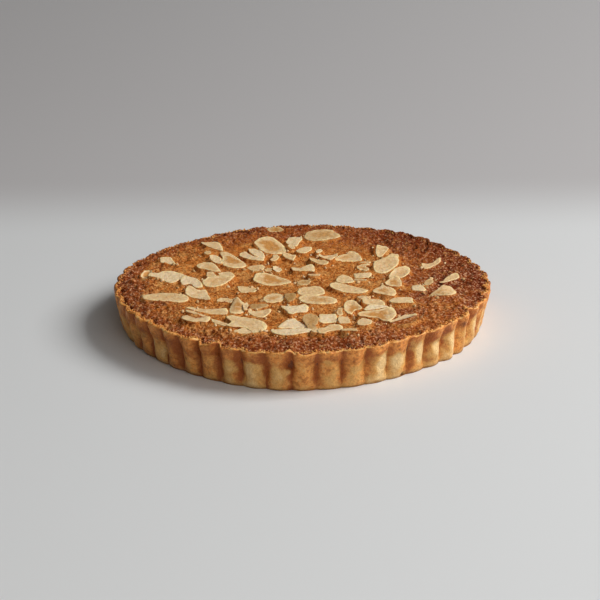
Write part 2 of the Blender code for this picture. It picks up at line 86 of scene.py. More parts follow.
# Slices of almond: turn, tilt up at the back (degrees), tan heart, toasting, cup across, bend along (mm),
# then the outline (x,y pairs in half millimetres) as it looks laid level at the height of the filling
SLICES = (
    (-3, 6, 0.9, 0.5, 0.2, 0.3, -45,206, -38,211, -29,210, -25,202, -23,194, -28,188, -36,188, -44,192,
    -46,200),
    (3, 8, 0.6, 0.5, 0.2, 0.3, 3,178, 6,188, 12,193, 22,198.6, 32,199, 40,197, 43,188, 48,180, 49.6,172,
    44,165, 36,160, 26,155, 16,153.6, 8,157, 2.6,166),
    (-43, 10, 1, 0, 0.3, 0.4, -62,152, -59,162, -54,170, -44,175, -37,171, -30,158, -25,146, -21,132,
    -20,118, -24,111, -31,106, -39,106, -46,114, -53,126, -58,138),
    (-50, 7, 0.1, 0.2, 0.2, 0.1, -17.6,143, -12,138, -8.6,127, -14,124, -18.4,132),
    (12, 8, 0.1, -0.4, 0.3, 0.2, -18,166, -9,167, -0.6,166, 0,160, -3,150, -6,136, -9,129, -13,134, -18,142,
    -21.6,150, -19,158),
    (10, 7, 0.1, -0.3, 0.2, 0.1, -8,116, -4,124, 3,130, 11,129, 12.6,122, 8,112, 4,105, -2,106, -7,111),
    (0, 5, 0, -0.4, 0.1, 0.1, 18,119, 23,121, 26,116, 23,108, 18,106, 17,112),
    (4, 8, 0.5, 0.1, 0.3, 0.1, 59,114, 65,112, 70,104, 73,92, 74.6,80, 74,73, 60,74, 48,73, 38,77, 41,84,
    45,94, 51,101, 57,106),
    (0, 6, 0.2, -0.3, 0.3, 0.4, 21,100, 26,95, 32,98, 38,97, 44,101, 44,92, 39,88, 35,79, 30,86, 23,90,
    20,94),
    (-10, 3, 0.3, 0.3, 0.1, 0.2, 8,87, 14,85, 20,82, 27,81, 33,72, 32,67, 26,64, 20,66, 15,73, 10,77),
    (3, 2, 0, 0.4, 0, 0, 70,70, 78,71.6, 86,70, 84,66.4, 74,66),
    (-6, 4, 0.7, 0, 0.3, 0.5, 68,55, 73,61, 81,65, 82,61, 78,56.6, 79.6,52, 82.6,47, 82,39, 76,37, 70,43,
    67,49),
    (-84, 9, 0.2, 0.1, 0.4, 0.3, 93,124, 95,134, 100,132, 107,128, 109,121, 106,110, 102,98, 99,89, 94,91,
    92.6,104),
    (62, 7, 0.1, 0.2, 0.2, 0.2, 104,86, 111,100, 120,99, 121,88, 116,76, 108,74),
    (58, 8, 0.15, 0, 0.4, 0.3, 100,82, 106,89, 111,95, 118,94, 119.6,86, 120,76, 119,62, 115,50, 109,40,
    103,31, 96,31, 90,36, 87.6,48, 88,62, 91,72),
    (45, 8, 0.4, -0.2, 0.9, 0.3, 112,40, 120,50, 127,53, 131.6,49, 132.6,40, 130,28, 125,16, 120,9, 114,6,
    108,0, 105.6,8, 105,18, 108,29),
    (-55, 8, 1, 0.2, 0.8, 0.3, 105,10, 110,16, 115,19, 120,6, 120,-4, 120,-14, 116,-19, 110,-16, 103,-12,
    99.6,-3, 101,3),
    (2, 4, 0, -0.3, 0.3, 0.1, 62,29, 73,28, 85,29, 84,20, 81,12, 72,10.4, 65,11.6, 63,19),
    (-3, 1, 0.1, 0.5, 0, 0, 62,9, 72,8.4, 79,5, 76,2, 68,3, 63,3.6),
    (-15, 5, 0.1, 0, 0.3, 0.2, 41,8, 45,19, 50,23, 56,20, 60,11, 63,1, 61,-5, 53,-7, 45,-4, 40.6,1),
    (-17, 4, 0.15, 0, 0.3, 0.3, 32,-14, 34,-7, 40,-4, 48,-7, 56,-12, 64,-18, 72,-24, 78.6,-31, 76,-38,
    69,-40.6, 58,-39.6, 48,-36, 39,-28, 34,-21),
    (-8, 7, 0.6, 0, 0.6, 0.3, 84,-30, 88,-23, 93,-21, 96,-15, 100,-20, 107,-24, 111.6,-32, 112,-42, 109,-52,
    103,-52, 94,-44, 88,-40, 84,-37),
    (-8, 4, 0, -0.4, 0.1, 0.1, 132,-16, 140,-15, 145,-17, 147,-24, 149,-32, 145,-37.6, 138,-35, 131.6,-33),
    (25, 4, 0.2, 0.5, 0.2, 0, 150,0, 156,8, 158.6,3, 159,-6, 154,-14, 148,-15, 147,-8),
    (24, 8, 0.1, 0.2, 0.4, 0.9, 147,64, 156,63, 163,68, 168,78, 172,80, 172,69, 168,62, 162,54, 156,46,
    150,40, 149,50),
    (213, 8, 0.1, 0.2, 0.3, 0.7, 165,-10, 170,-4, 173,6, 178,17, 186,24, 190,22, 191,12, 187,6, 181,2,
    176,-4, 170,-11),
    (14, 9, 0.5, 0.3, 1.3, -1.2, 148,-56, 149.6,-49, 154,-41, 160,-34, 165,-26, 170,-21.6, 178,-22, 184,-30,
    183,-40, 178,-52, 173,-59, 168,-56, 163,-54, 159,-48, 155,-50, 151,-57),
    (-2, 5, 0.3, 0, 0, 0.8, -192,-48, -189,-41, -182,-36, -172,-33, -162,-33.6, -152,-37, -144,-41, -139,-46,
    -136,-53, -136,-60, -142,-65, -152,-66.4, -160,-62, -172,-60.6, -182,-58.6, -190,-56),
    (75, 9, 1.2, 0.1, 1.5, 0.6, -199,22, -198,34, -195,44, -190,49, -185,44, -186,34, -188,24, -194,17),
    (-14, 6, 0.1, -0.5, 0.5, 0.9, -188,38, -182,37, -178,36, -173,43, -164,43.6, -156,40.6, -150,36, -144,29,
    -140,24, -147,16, -152,11, -156,5, -161,0.6, -166,5, -170,13, -176,20, -183,25, -190,26),
    (-45, 8, 0.1, -0.6, 0.4, 0.6, -149,17, -144,27, -138,23, -130,16, -125,6, -122,-6, -121,-18, -128,-19.6,
    -133,-14, -134,-5, -140,-3, -146,-9, -148,2),
    (-46, 7, 0.2, -0.3, 0.3, 0.6, -138,-9, -133,-12, -128,-19, -122,-20, -116,-19, -115,-28, -113,-38,
    -111,-48, -110,-58, -116,-58.4, -120,-52, -127,-48, -135,-43, -140,-34, -142,-24),
    (-22, 6, 0.2, -0.2, 0.3, 0.4, -130,153, -120,152, -110,152, -105,147, -102,134, -100,116, -106,122,
    -114,130, -122,139, -128,147),
    (10, 3, 0.1, 0.4, 0, 0, -123,116, -116,118, -115,108, -120,104, -124,109),
    (-28, 5, 0, -0.4, 0.3, 0.3, -179,94, -165,96, -162,84, -159,74, -157,65, -164,69, -170,74, -178,76),
    (-35, 6, 0, -0.4, 0.3, 0.2, -117,100, -112,101, -106,98, -102,90, -101,80, -100,70, -105,70, -110,76,
    -115,86),
    (-20, 6, 0.4, 0.1, 0.3, 0.3, -132,62, -129,71, -122,75, -114,73, -108,66, -105,56, -102,46, -101,41,
    -108,41, -115,45, -120,50, -128,53),
    (-43, 8, 0.9, 0, 0.3, 0.3, -104,113, -97,112, -90,105, -84,96, -78,86, -73,76, -70,68, -71,60, -76,54,
    -84,51, -92,55, -98,63, -101,72, -101,84, -100,94, -103,104),
    (-28, 6, 0.2, -0.4, 0.4, 0.3, -79,108, -72,113, -68,106, -63,98, -56,92, -50,87, -47,80, -50,76, -58,78,
    -66,83, -74,92, -79,100),
    (-50, 9, 0.1, -0.5, 0.4, 0.3, -69,126, -62,125, -56,118, -50,110, -48,100, -47,90, -50,86, -56,92,
    -62,102, -67,114),
    (8, 3, 0.2, 0.1, 0.3, 0.2, -66,59, -58,61, -50,62, -46.6,55, -49,45, -55,40, -62,42, -67,49, -69,54),
    (60, 4, 0.1, 0, 0.2, 0.2, -117.6,37, -111,39.6, -108,33, -106,27, -108,16, -116,16, -118,26),
    (2, 5, 0.1, -0.1, 0.3, 0.2, -104,33, -99,37, -92,38, -86,34, -83,24, -85,16, -92,15, -100,20),
    (28, 8, 0.3, 0.1, 0.4, 0.3, -122,6, -116,18, -106,26, -96,28, -86,24, -85,18, -89,8, -94,-2, -100,-10,
    -107,-15, -114,-13.6, -120,-7),
    (-9, 8, 0.95, 0, 0.4, 0.5, -60.6,14, -59,25, -53,31.6, -44,31.6, -36,28, -28,21, -21,14, -16,6, -13,1,
    -16,-4, -22,-5, -28,-9, -38,-10.6, -48,-8, -56,-1, -60,6),
    (60, 4, 0, -0.1, 0.2, 0.1, -37,100, -31,101, -29,90, -32,81, -38,78, -41,84, -37,90),
    (-28, 5, 0.1, 0, 0.3, 0.3, -25,107, -19,106, -12,100, -8,99, -9,93, -11,84, -11,77, -16,82, -21,90,
    -25,98),
    (-35, 8, 0.3, 0.3, 0.1, 0.1, -48,44, -44,51, -38,51, -36.6,44, -40,39, -46,40),
    (10, 8, 0, -0.8, 0.2, 0.3, -36.6,57, -32,58, -27,50, -25.6,42, -30,35, -34,40, -37,48),
    (9, 5, 0.1, -0.3, 0.3, 0.6, -15,54, -10,54, -6,48, 0,54, 6,59, 11,62, 14,58, 15,48, 14,35, 9,39, 4,40,
    -4,41, -12,43),
    (2, 1, 0, 0.2, 0, 0, 6,28, 14,27.6, 22,27.6, 20,22, 11,21, 7,24),
    (3, 2, 0.6, 0.6, 0.1, 0.1, -6,1, -1,7, 6,7, 10,2, 8,-6, 3,-11, -4,-11, -7,-6),
    (-4, 4, 0.2, 0.1, 0.2, 0.3, -79,-16, -74,-15, -66,-16, -60,-15, -57,-22, -55,-29, -58,-35, -68,-36.4,
    -75,-35, -78,-26),
    (6, 5, 0.6, 0, 0.2, 0.2, -48,-54, -44,-46, -38,-41, -31,-41, -24,-45, -22,-54, -23,-62, -28,-69, -35,-72,
    -43,-70.6, -47,-62),
    (30, 2, 0.5, 0.9, 0.1, 0.2, -22,-42, -15,-40, -8,-42, -8,-52, -11,-64, -17,-69, -20,-60, -22,-51),
    (2, 5, 0.1, 0.1, 0.3, 0.2, -7,-34, -5,-24, 0,-19.6, 8,-18, 15,-16, 21,-18, 24.6,-24, 27,-34, 26,-43,
    16,-49, 4,-49, -5,-45),
    (-3, 6, 0.5, 0, 0.4, 0.4, -6,-55, -3,-48, 5,-46, 14,-48, 24,-50, 34,-54, 40,-60, 40.6,-68, 38,-75,
    28,-78, 16,-78.4, 4,-74, -3,-66),
    (-14, 4, 0, 0, 0.2, 0.2, 64,-51, 76,-53, 81,-60, 76,-65, 68,-62),
    (-58, 8, 0.9, 0, 0.8, 0.3, 51,-68, 58,-65, 63,-70, 67,-80, 70,-91, 64,-93, 60,-95, 58.6,-102, 57,-112,
    52,-109, 49,-98, 48,-86, 48.6,-76),
    (-4, 4, 0.2, 0.1, 0.2, 0.2, 70,-62, 82,-61, 92,-63, 97,-72, 97,-83, 86,-82, 76,-80, 70,-75),
    (183, 4, 0.1, -0.2, 0.2, 0.3, 101,-68, 108,-61, 116,-57.6, 124,-56.4, 130,-56, 130.4,-66, 130.6,-77,
    122,-76, 112,-76.6, 106,-74),
    (10, 6, 1, 0.1, 0.6, 0.3, 63,-110, 68,-104, 76,-100, 86,-96, 97,-90, 104,-87, 106,-94, 108,-104,
    108,-114, 106,-123, 101,-134, 97,-136, 91,-130, 88,-122, 82,-119, 72,-117, 65,-117),
    (8, 5, 0.1, -0.7, 0.3, 0.3, 71,-95, 76,-85, 82,-82, 92,-82.6, 99,-85, 101,-90, 92,-93, 82,-97, 75,-99),
    (38, 9, 0, -0.3, 0.2, 0.9, 100,-137, 106,-131, 114,-121, 120,-114, 132,-114, 132,-109, 119,-110,
    112,-116, 104,-127, 99,-133),
    (-5, 4, 0.1, -0.3, 0.3, 0.3, 64,-132, 68,-125, 73,-128, 79,-132, 79.6,-138, 78,-145, 70,-149, 63,-146,
    62,-139),
    (-10, 4, 0, -0.2, 0.2, 0.1, 41,-120, 52,-120, 54,-130, 55,-139, 48,-141, 41.6,-140, 40,-130),
    (80, 3, 0.5, 0.3, 0.2, 0.2, 41,-90, 46,-91, 46,-102, 46.6,-112, 42,-117, 39,-108, 40,-98),
    (-2, 5, 0, -0.6, 0.3, 0.1, 18,-112, 28,-111, 38.6,-111, 39.6,-124, 40.6,-136, 30,-137, 23,-142, 18,-136,
    19,-126),
    (4, 4, 0.1, 0, 0.3, 0.4, 17,-157, 25,-154, 30,-145, 36,-142, 44,-146, 46,-155, 42,-161, 32,-162, 26,-168,
    24,-173, 17,-170, 16,-163),
    (-12, 2, 0.1, 0.3, 0.1, 0.3, 44,-158, 54,-157.2, 61.4,-159, 62,-166, 53,-163.6, 43,-163),
    (-5, 4, 0, -0.7, 0.2, 0.2, -27,-80, -17,-83, -6,-82.6, 2,-79, 6,-84, 6.4,-94, 4,-103, -8,-104, -12,-110,
    -17,-108, -19,-100, -23,-90),
    (14, 5, 0.5, 0.8, 0.2, 0.2, -68,-82, -60,-76, -50,-77, -41.6,-75, -41,-82, -48,-88, -54,-94, -62,-92,
    -67,-88),
    (-9, 6, 0.2, 0, 0.4, 0.3, -65,-96, -56,-99, -48,-95, -38,-92, -37,-100, -41,-110, -45,-119, -54,-118,
    -61,-109, -65,-102),
    (4, 5, 0.2, 0.1, 0.4, 0.4, -103,-60, -99,-54, -92,-53, -84,-58, -80,-62, -86,-69, -92,-66, -99,-67,
    -103,-67),
    (75, 8, 0.8, 0.1, -0.9, 0.4, -84,-70, -80,-52, -77,-54, -73,-66, -68,-74, -65,-86, -68,-98, -74,-108,
    -80,-111, -86,-106, -87,-92, -85,-80),
    (-40, 8, 0.1, -0.3, 0.2, 0.2, -71,-76, -66,-70, -64,-77, -66,-86, -65,-94, -69,-96, -71,-86),
    (-18, 3, 0.1, 0.1, 0.2, 0.4, -139,-84, -132,-83, -124,-87, -114,-90, -102,-90.4, -92,-90, -88,-96,
    -89,-108, -98,-107, -110,-105, -118,-101, -126,-95, -136,-88),
    (-30, 4, 0.1, 0.2, 0.2, 0.3, -137,-93, -128,-98, -120,-105, -111,-114, -107,-121, -114,-120, -122,-111,
    -130,-103, -138,-97),
    (2, 3, 0, -0.3, 0.3, 0.9, -80,-162, -74,-157, -68,-152, -62,-155, -56,-162, -50,-167, -60,-170.4,
    -72,-169.6, -78,-167),
    (-24, 3, 0.2, 0.2, 0.1, 0.2, -107,-123, -100,-128, -92,-134, -86,-139, -85,-147, -92,-145, -100,-138,
    -106,-131),
    (-22, 7, 0.15, -0.1, 0.5, 0.5, -90,-114, -82,-111, -76,-115, -67,-119, -57,-123, -51,-128, -44,-137,
    -41,-146, -43,-156, -49,-166, -57,-168, -62,-158, -66,-150, -74,-147, -82,-150, -89,-146, -84,-136,
    -83,-128, -88,-121),
    (-8, 5, 0.1, -0.2, 0.2, 0.3, -142,-114, -136,-109, -131,-114, -127,-121, -120,-123, -114,-120, -108,-115,
    -108,-122, -111,-131, -120,-130, -128,-131.6, -135,-127, -141,-120),
    (14, 8, 0.35, -0.7, 0.4, 0.4, -30,-155, -27,-144, -22,-132, -16,-124, -9,-123, -6,-132, 0,-139, 5,-149,
    6,-158, -6,-158, -18,-157),
    (-60, 8, 0.6, 0.7, 0.3, 0.4, 1,-114, 8,-109, 15,-113, 18.6,-123, 17,-136, 14,-146, 16,-154, 12,-158,
    5,-155, 4,-144, 0,-132, -1,-122),
    (3, 4, 0.2, -0.6, 0.3, 0.6, -38,-159, -24,-158, -10,-159, 4,-158, 13,-160, 14,-166, 3,-169, -5,-174,
    -12,-178, -22,-177, -30,-172, -36,-165),
    (0, 4, 0.1, 0, 0.1, 0.2, 10,-159, 17,-157, 18,-168, 12,-169, 9,-164),
)

# Darker and paler places of the filling: x, y, size in x, size in y (mm), darkness; the dark place at (72,
# -22) is painted shade of a shallow hollow
BAKE_PATCHES = (
    (72, -22, 9, 10, 0.9), (64, 10, 18, 16, 0.5), (-84, -30, 16, 14, 0.25),
    (88, -4, 9, 12, 0.6), (107, 4, 4, 12, 0.9), (55, -52, 12, 8, 0.7),
    (35, 72, 30, 24, 0.1), (-50, -50, 20, 12, 0.05), (-44, -84, 26, 8, -0.15),
    (60, 74, 20, 12, 0.25), (-100, 0, 8, 18, 0.35), (86, -40, 10, 9, -0.25),
    (66, -85, 16, 8, -0.25), (94, -54, 9, 12, -0.35), (-20, 20, 26, 14, -0.15),
    (2, -100, 40, 6, 0.4), (50, -66, 16, 8, 0.45))

# Holes in the filling: x, y, size, depth (mm); each hole is also darkened with painted shade
PITS = (
    (86, 6, 2, 1.4), (80, 12, 1.4, 0.9), (63, 58, 2.4, 1), (71, 60, 1.8, 1),
    (95, -20, 2.4, 1.2), (-37, -78, 1.8, 1.3), (20, -92, 1.8, 1.1), (47, -85, 1.6, 1),
    (64, -63, 1.6, 1), (8, -94, 1.4, 0.9), (-58, -76, 1.6, 1), (-88, -40, 1.6, 0.9),
    (78, -50, 1.4, 0.9), (-75, -58, 1.5, 0.8), (96, 30, 1.8, 1), (-98, -8, 2, 1.1))

# Mesh fineness of the dressed pieces
CASE_COLUMNS_PER_FLUTE = 26
WALL_ROWS = 40
SPONGE_RINGS = 178
SLICE_RIM_POINTS = 68

# Camera fitted to the photograph: place (mm), pitch down, yaw and roll (radians), focal length in pixels
CAMERA_PLACE = (-0.4, -1226.0, 472.2)
CAMERA_PITCH = 0.3579
CAMERA_YAW = -0.0011
CAMERA_ROLL = -0.0099
FOCAL_PIXELS = 2143.3
FRAME_PIXELS = 600
SENSOR_MM = 36.0


def plan_scale(turn):
    """Share by which the plan of the tart grows at an azimuth."""
    scale = np.ones_like(turn)
    for waves, cosine, sine in PLAN_WAVES:
        scale += cosine * np.cos(waves * turn) + sine * np.sin(waves * turn)
    return scale


def rim_height(turn):
    """Height of the rim round the tart."""
    wave = np.sin(3.0 * turn + 0.6) + 0.6 * np.sin(7.0 * turn + 2.1) + 0.5 * np.sin(13.0 * turn)
    return WALL_HEIGHT + RIM_WAVE * wave


def field(points, size, shift):
    """Smooth noise between -1 and 1 at points in mm, with features of a size in mm."""
    spots = (np.asarray(points, float) / size + shift).tolist()
    return np.array([noise.noise(spot) for spot in spots])


def cells(points, size, shift):
    """Distance to the nearest and the second nearest of scattered seeds, for points in mm."""
    spots = (np.asarray(points, float) / size + shift).tolist()
    return np.array([noise.voronoi(spot)[0][:2] for spot in spots])


def smooth(low, high, value):
    """0 below low, 1 above high, and a smooth step between them."""
    share = np.clip((value - low) / (high - low), 0.0, 1.0)
    return share * share * (3.0 - 2.0 * share)


def hump(value, place, width):
    """1 at a place, falling off within a width on both sides."""
    return np.exp(-(((value - place) / width) ** 2))


def bell(value, place, spread):
    """Normal curve that is 1 at a place."""
    return np.exp(-0.5 * ((value - place) / spread) ** 2)


def ring_points(radius, turn, height):
    """Points at azimuths, with a radius and a height."""
    return np.stack([radius * np.sin(turn), -radius * np.cos(turn), np.broadcast_to(height, turn.shape)], -1)


def flutes_along(turn):
    """Place at an azimuth, counted in flutes from the front."""
    return (turn - FLUTE_TURN) * FLUTE_COUNT / math.tau


def ground_height(x, y):
    """Height of the filling's top with its broad shape and crags, as in the solids."""
    turn = np.arctan2(x, -y)
    radius = np.hypot(x, y) / plan_scale(turn)
    section = np.array(FILL_SECTION)
    height = np.interp(radius, section[:, 0], section[:, 1])
    for centre_x, centre_y, size_x, size_y, angle, rise in SWELLINGS:
        c = math.cos(math.radians(angle))
        s = math.sin(math.radians(angle))
        along = ((x - centre_x) * c + (y - centre_y) * s) / size_x
        across = ((y - centre_y) * c - (x - centre_x) * s) / size_y
        height += rise * np.exp(-0.5 * (along * along + across * across))
    flat = np.stack([x, y, np.zeros_like(x)], -1)
    coarse = field(flat, CRAG_COARSE_SIZE, 0.0)
    raised = np.stack([x, y, np.full_like(x, CRAG_FINE_SIZE)], -1)
    fine = field(raised, CRAG_FINE_SIZE, 0.0)
    fade = np.clip((INNER_RIM_RADIUS - radius) / EDGE_FADE, 0.0, 1.0)
    return height + (CRAG_COARSE * coarse + CRAG_FINE * fine) * (0.35 + 0.65 * fade)


def mesh_piece(name, points, faces, material, marks):
    """Smooth mesh piece from points in mm, faces and named numbers for each point."""
    mesh = bpy.data.meshes.new(name)
    mesh.from_pydata((np.asarray(points) * MM).tolist(), [], faces)
    mesh.validate()
    for label, values in marks.items():
        layer = mesh.attributes.new(label, "FLOAT", "POINT")
        layer.data.foreach_set("value", np.asarray(values, np.float32))
    mesh.materials.append(material)
    mesh.shade_smooth()
    piece = bpy.data.objects.new(name, mesh)
    bpy.context.scene.collection.objects.link(piece)
    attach(piece, "root")
    return piece


def band_faces(rows, columns):
    """Quads of a closed band of rows, each a full turn of columns."""
    faces = []
    for row in range(rows - 1):
        low = row * columns
        high = low + columns
        for here in range(columns):
            after = (here + 1) % columns
            faces.append((low + here, low + after, high + after, high + here))
    return faces


# Materials

class Nodes:
    """Short way to write a node material. Values are numbers, colours or outputs of nodes."""

    def __init__(self, name, base):
        self.material = bpy.data.materials.new(name)
        self.material.use_nodes = True
        self.tree = self.material.node_tree
        self.shader = self.tree.nodes["Principled BSDF"]
        self.place = self.add("ShaderNodeTexCoord").outputs["Object"]
        self.colour = base

    def add(self, kind, **values):
        node = self.tree.nodes.new(kind)
        for key, value in values.items():
            setattr(node, key, value)
        return node

    def feed(self, socket, value):
        """Set a socket to a number or colour, or link an output to it."""
        if isinstance(value, tuple) and socket.type == "RGBA":
            socket.default_value = (*value, 1.0)
        elif isinstance(value, (int, float, tuple)):
            socket.default_value = value
        else:
            self.tree.links.new(value, socket)

    def mark(self, label):
        """Value that the mesh stores for its points."""
        return self.add("ShaderNodeAttribute", attribute_name=label).outputs["Fac"]

    def noise(self, size, detail=3.0, rough=0.55, stretch=(1.0, 1.0, 1.0)):
        """Noise with features of a size in mm, longer where stretch is below 1."""
        turn = self.add("ShaderNodeMapping")
        self.feed(turn.inputs["Scale"], stretch)
        self.feed(turn.inputs["Vector"], self.place)
        node = self.add("ShaderNodeTexNoise")
        self.feed(node.inputs["Vector"], turn.outputs["Vector"])
        for label, value in (("Scale", 1.0 / (size * MM)), ("Detail", detail), ("Roughness", rough)):
            self.feed(node.inputs[label], value)
        return node.outputs["Fac"]

    def math(self, kind, first, second, clamp=False):
        node = self.add("ShaderNodeMath", operation=kind, use_clamp=clamp)
        self.feed(node.inputs[0], first)
        self.feed(node.inputs[1], second)
        return node.outputs["Value"]

    def plus(self, first, second):
        return self.math("ADD", first, second)

    def times(self, first, second):
        return self.math("MULTIPLY", first, second)

    def wobble(self, value, amount):
        """A noise value moved to lie round 0, times an amount."""
        return self.times(self.math("SUBTRACT", value, 0.5), amount)

    def step(self, value, low, high, start=0.0, end=1.0):
        """Smooth step of a value between low and high."""
        node = self.add("ShaderNodeMapRange", interpolation_type="SMOOTHSTEP")
        for socket, number in zip(node.inputs, (value, low, high, start, end)):
            self.feed(socket, number)
        return node.outputs["Result"]

    def blend(self, share, first, second, kind="MIX"):
        """The first colour with a share of the second."""
        node = self.add("ShaderNodeMix", data_type="RGBA", blend_type=kind)
        colours = [socket for socket in node.inputs if socket.type == "RGBA"]
        for socket, value in zip([node.inputs[0], *colours], (share, first, second)):
            self.feed(socket, value)
        return [socket for socket in node.outputs if socket.type == "RGBA"][0]

    def tint(self, value, low, high, most, colour):
        """Blend a colour into the base colour, from none where a value is at low to most of it at high."""
        self.colour = self.blend(self.step(value, low, high, 0.0, most), self.colour, colour)

    def bump(self, height, distance, before=None):
        """Bumps of a height in mm, over those before."""
        node = self.add("ShaderNodeBump")
        self.feed(node.inputs["Distance"], distance * MM)
        self.feed(node.inputs["Height"], height)
        if before is not None:
            self.feed(node.inputs["Normal"], before)
        return node.outputs["Normal"]

    def finish(self, rough, specular, normal=None):
        self.feed(self.shader.inputs["Base Color"], self.colour)
        self.feed(self.shader.inputs["Roughness"], rough)
        self.feed(self.shader.inputs["Specular IOR Level"], specular)
        if normal is not None:
            self.feed(self.shader.inputs["Normal"], normal)
        return self.material


def crust_material():
    """Shortcrust: golden, with an orange lip, grooves darkened with painted shade, paler patches partly
    painted as highlights, and small toasted specks.
    """
    n = Nodes("crust", (0.90, 0.385, 0.090))
    orange = (0.88, 0.340, 0.076)
    tan = (0.48, 0.155, 0.032)
    butter = (0.92, 0.52, 0.17)
    brown = (0.40, 0.108, 0.020)
    honey = (0.80, 0.445, 0.130)
    pale = (0.925, 0.635, 0.290)
    dark = (0.11, 0.028, 0.009)
    filling = (0.20, 0.060, 0.022)
    grain_shade = (0.60, 0.45, 0.36)
    lip = n.plus(n.mark("lip"), n.wobble(n.noise(5.0, 2.0), 0.9))
    n.tint(lip, 0.05, 0.8, 1.0, orange)
    mottle = n.noise(2.8, 3.0, 0.6)
    n.tint(mottle, 0.50, 0.62, 0.70, tan)
    n.tint(mottle, 0.46, 0.34, 0.60, butter)
    # Toast: real browning, with painted shade in the grooves and on the shaded sides of flutes
    toast = n.plus(n.mark("toast"), n.wobble(n.noise(9.0, 3.0, 0.62), 2.0))
    n.tint(toast, 0.05, 0.95, 1.0, brown)
    # Whites: pale dough, with painted highlights on crests, sunlit sides and the rim's edge
    whites = n.plus(n.mark("pale"), n.wobble(n.noise(6.0, 2.0, 0.5), 1.6))
    n.tint(whites, 0.0, 0.55, 0.85, honey)
    n.tint(whites, 0.45, 1.15, 0.95, pale)
    n.tint(n.noise(1.2, 2.0, 0.6), 0.60, 0.74, 0.35, brown)
    # Dark specks, with painted shade in dents and on the inner wall, and a painted contact shadow at the
    # wall's foot
    n.colour = n.blend(n.math("MULTIPLY", n.mark("burn_and_shade"), 1.0, True), n.colour, dark)
    n.colour = n.blend(n.mark("fill"), n.colour, filling)
    # Painted shade in the low places of the fine grain, which the bump below also uses
    grain = n.noise(0.9, 3.0, 0.65)
    n.tint(grain, 0.60, 0.36, 0.42, n.blend(1.0, n.colour, grain_shade, "MULTIPLY"))
    normal = n.bump(n.noise(2.6, 2.0, 0.55), 0.9)
    normal = n.bump(grain, 0.28, normal)
    return n.finish(n.step(n.noise(3.0), 0.3, 0.7, 0.34, 0.54), 0.26, normal)


def sponge_material():
    """Browned frangipane: granular, orange brown in the middle, deep red brown towards the rim; painted shade
    and glints.
    """
    n = Nodes("sponge", (0.61, 0.196, 0.034))
    brown = (0.375, 0.094, 0.019)
    deep = (0.175, 0.027, 0.005)
    hollow_shade = (0.085, 0.016, 0.004)
    yellow = (0.84, 0.46, 0.16)
    pink = (0.86, 0.475, 0.275)
    sugar = (0.84, 0.46, 0.15)
    crumb = (0.84, 0.42, 0.14)
    fine = n.noise(1.4, 3.0, 0.65)
    bake = n.plus(n.mark("bake"), n.wobble(n.noise(9.0, 4.0, 0.6), 1.5))
    bake = n.plus(bake, n.wobble(fine, 2.0))
    # Browner where the grain mark is low, between lumps and grains: painted shade
    bake = n.plus(bake, n.times(n.math("SUBTRACT", 0.5, n.mark("grain")), 1.2))
    n.tint(bake, -0.15, 0.60, 1.0, brown)
    n.tint(bake, 0.50, 1.35, 1.0, deep)
    # Painted shade in holes, cracks and the crevice at the rim
    n.tint(n.mark("pit_shade"), 0.15, 1.0, 0.9, hollow_shade)
    # Painted glints on light grains and painted shade on dark grains, weaker in the middle and at the back
    split = n.add("ShaderNodeSeparateXYZ")
    n.feed(split.inputs["Vector"], n.place)
    reach = n.step(n.mark("bake"), 0.0, 0.50, 0.85, 1.0)
    reach = n.times(reach, n.step(split.outputs["Y"], 0.010, 0.070, 1.0, 0.55))
    grains = n.noise(1.4, 2.0, 0.6)
    glint = n.blend(n.step(n.mark("bake"), 0.1, 0.5), yellow, pink)
    n.colour = n.blend(n.times(n.step(grains, 0.52, 0.66, 0.0, 0.75), reach), n.colour, glint)
    n.colour = n.blend(n.times(n.step(grains, 0.48, 0.36, 0.0, 0.95), reach), n.colour, deep)
    sweet = n.times(n.step(n.noise(7.0, 3.0, 0.65), 0.50, 0.66), n.step(n.mark("bake"), 0.45, 0.10))
    n.colour = n.blend(n.times(sweet, 0.45), n.colour, sugar)
    crumbs = n.noise(4.2, 2.0, 0.6)
    n.tint(crumbs, 0.57, 0.68, 0.45, crumb)
    n.tint(crumbs, 0.43, 0.32, 0.50, deep)
    normal = n.bump(n.noise(1.2, 3.0, 0.65), 0.9)
    normal = n.bump(n.noise(0.6, 2.0, 0.6), 0.25, normal)
    return n.finish(n.step(fine, 0.3, 0.7, 0.36, 0.56), 0.05, normal)


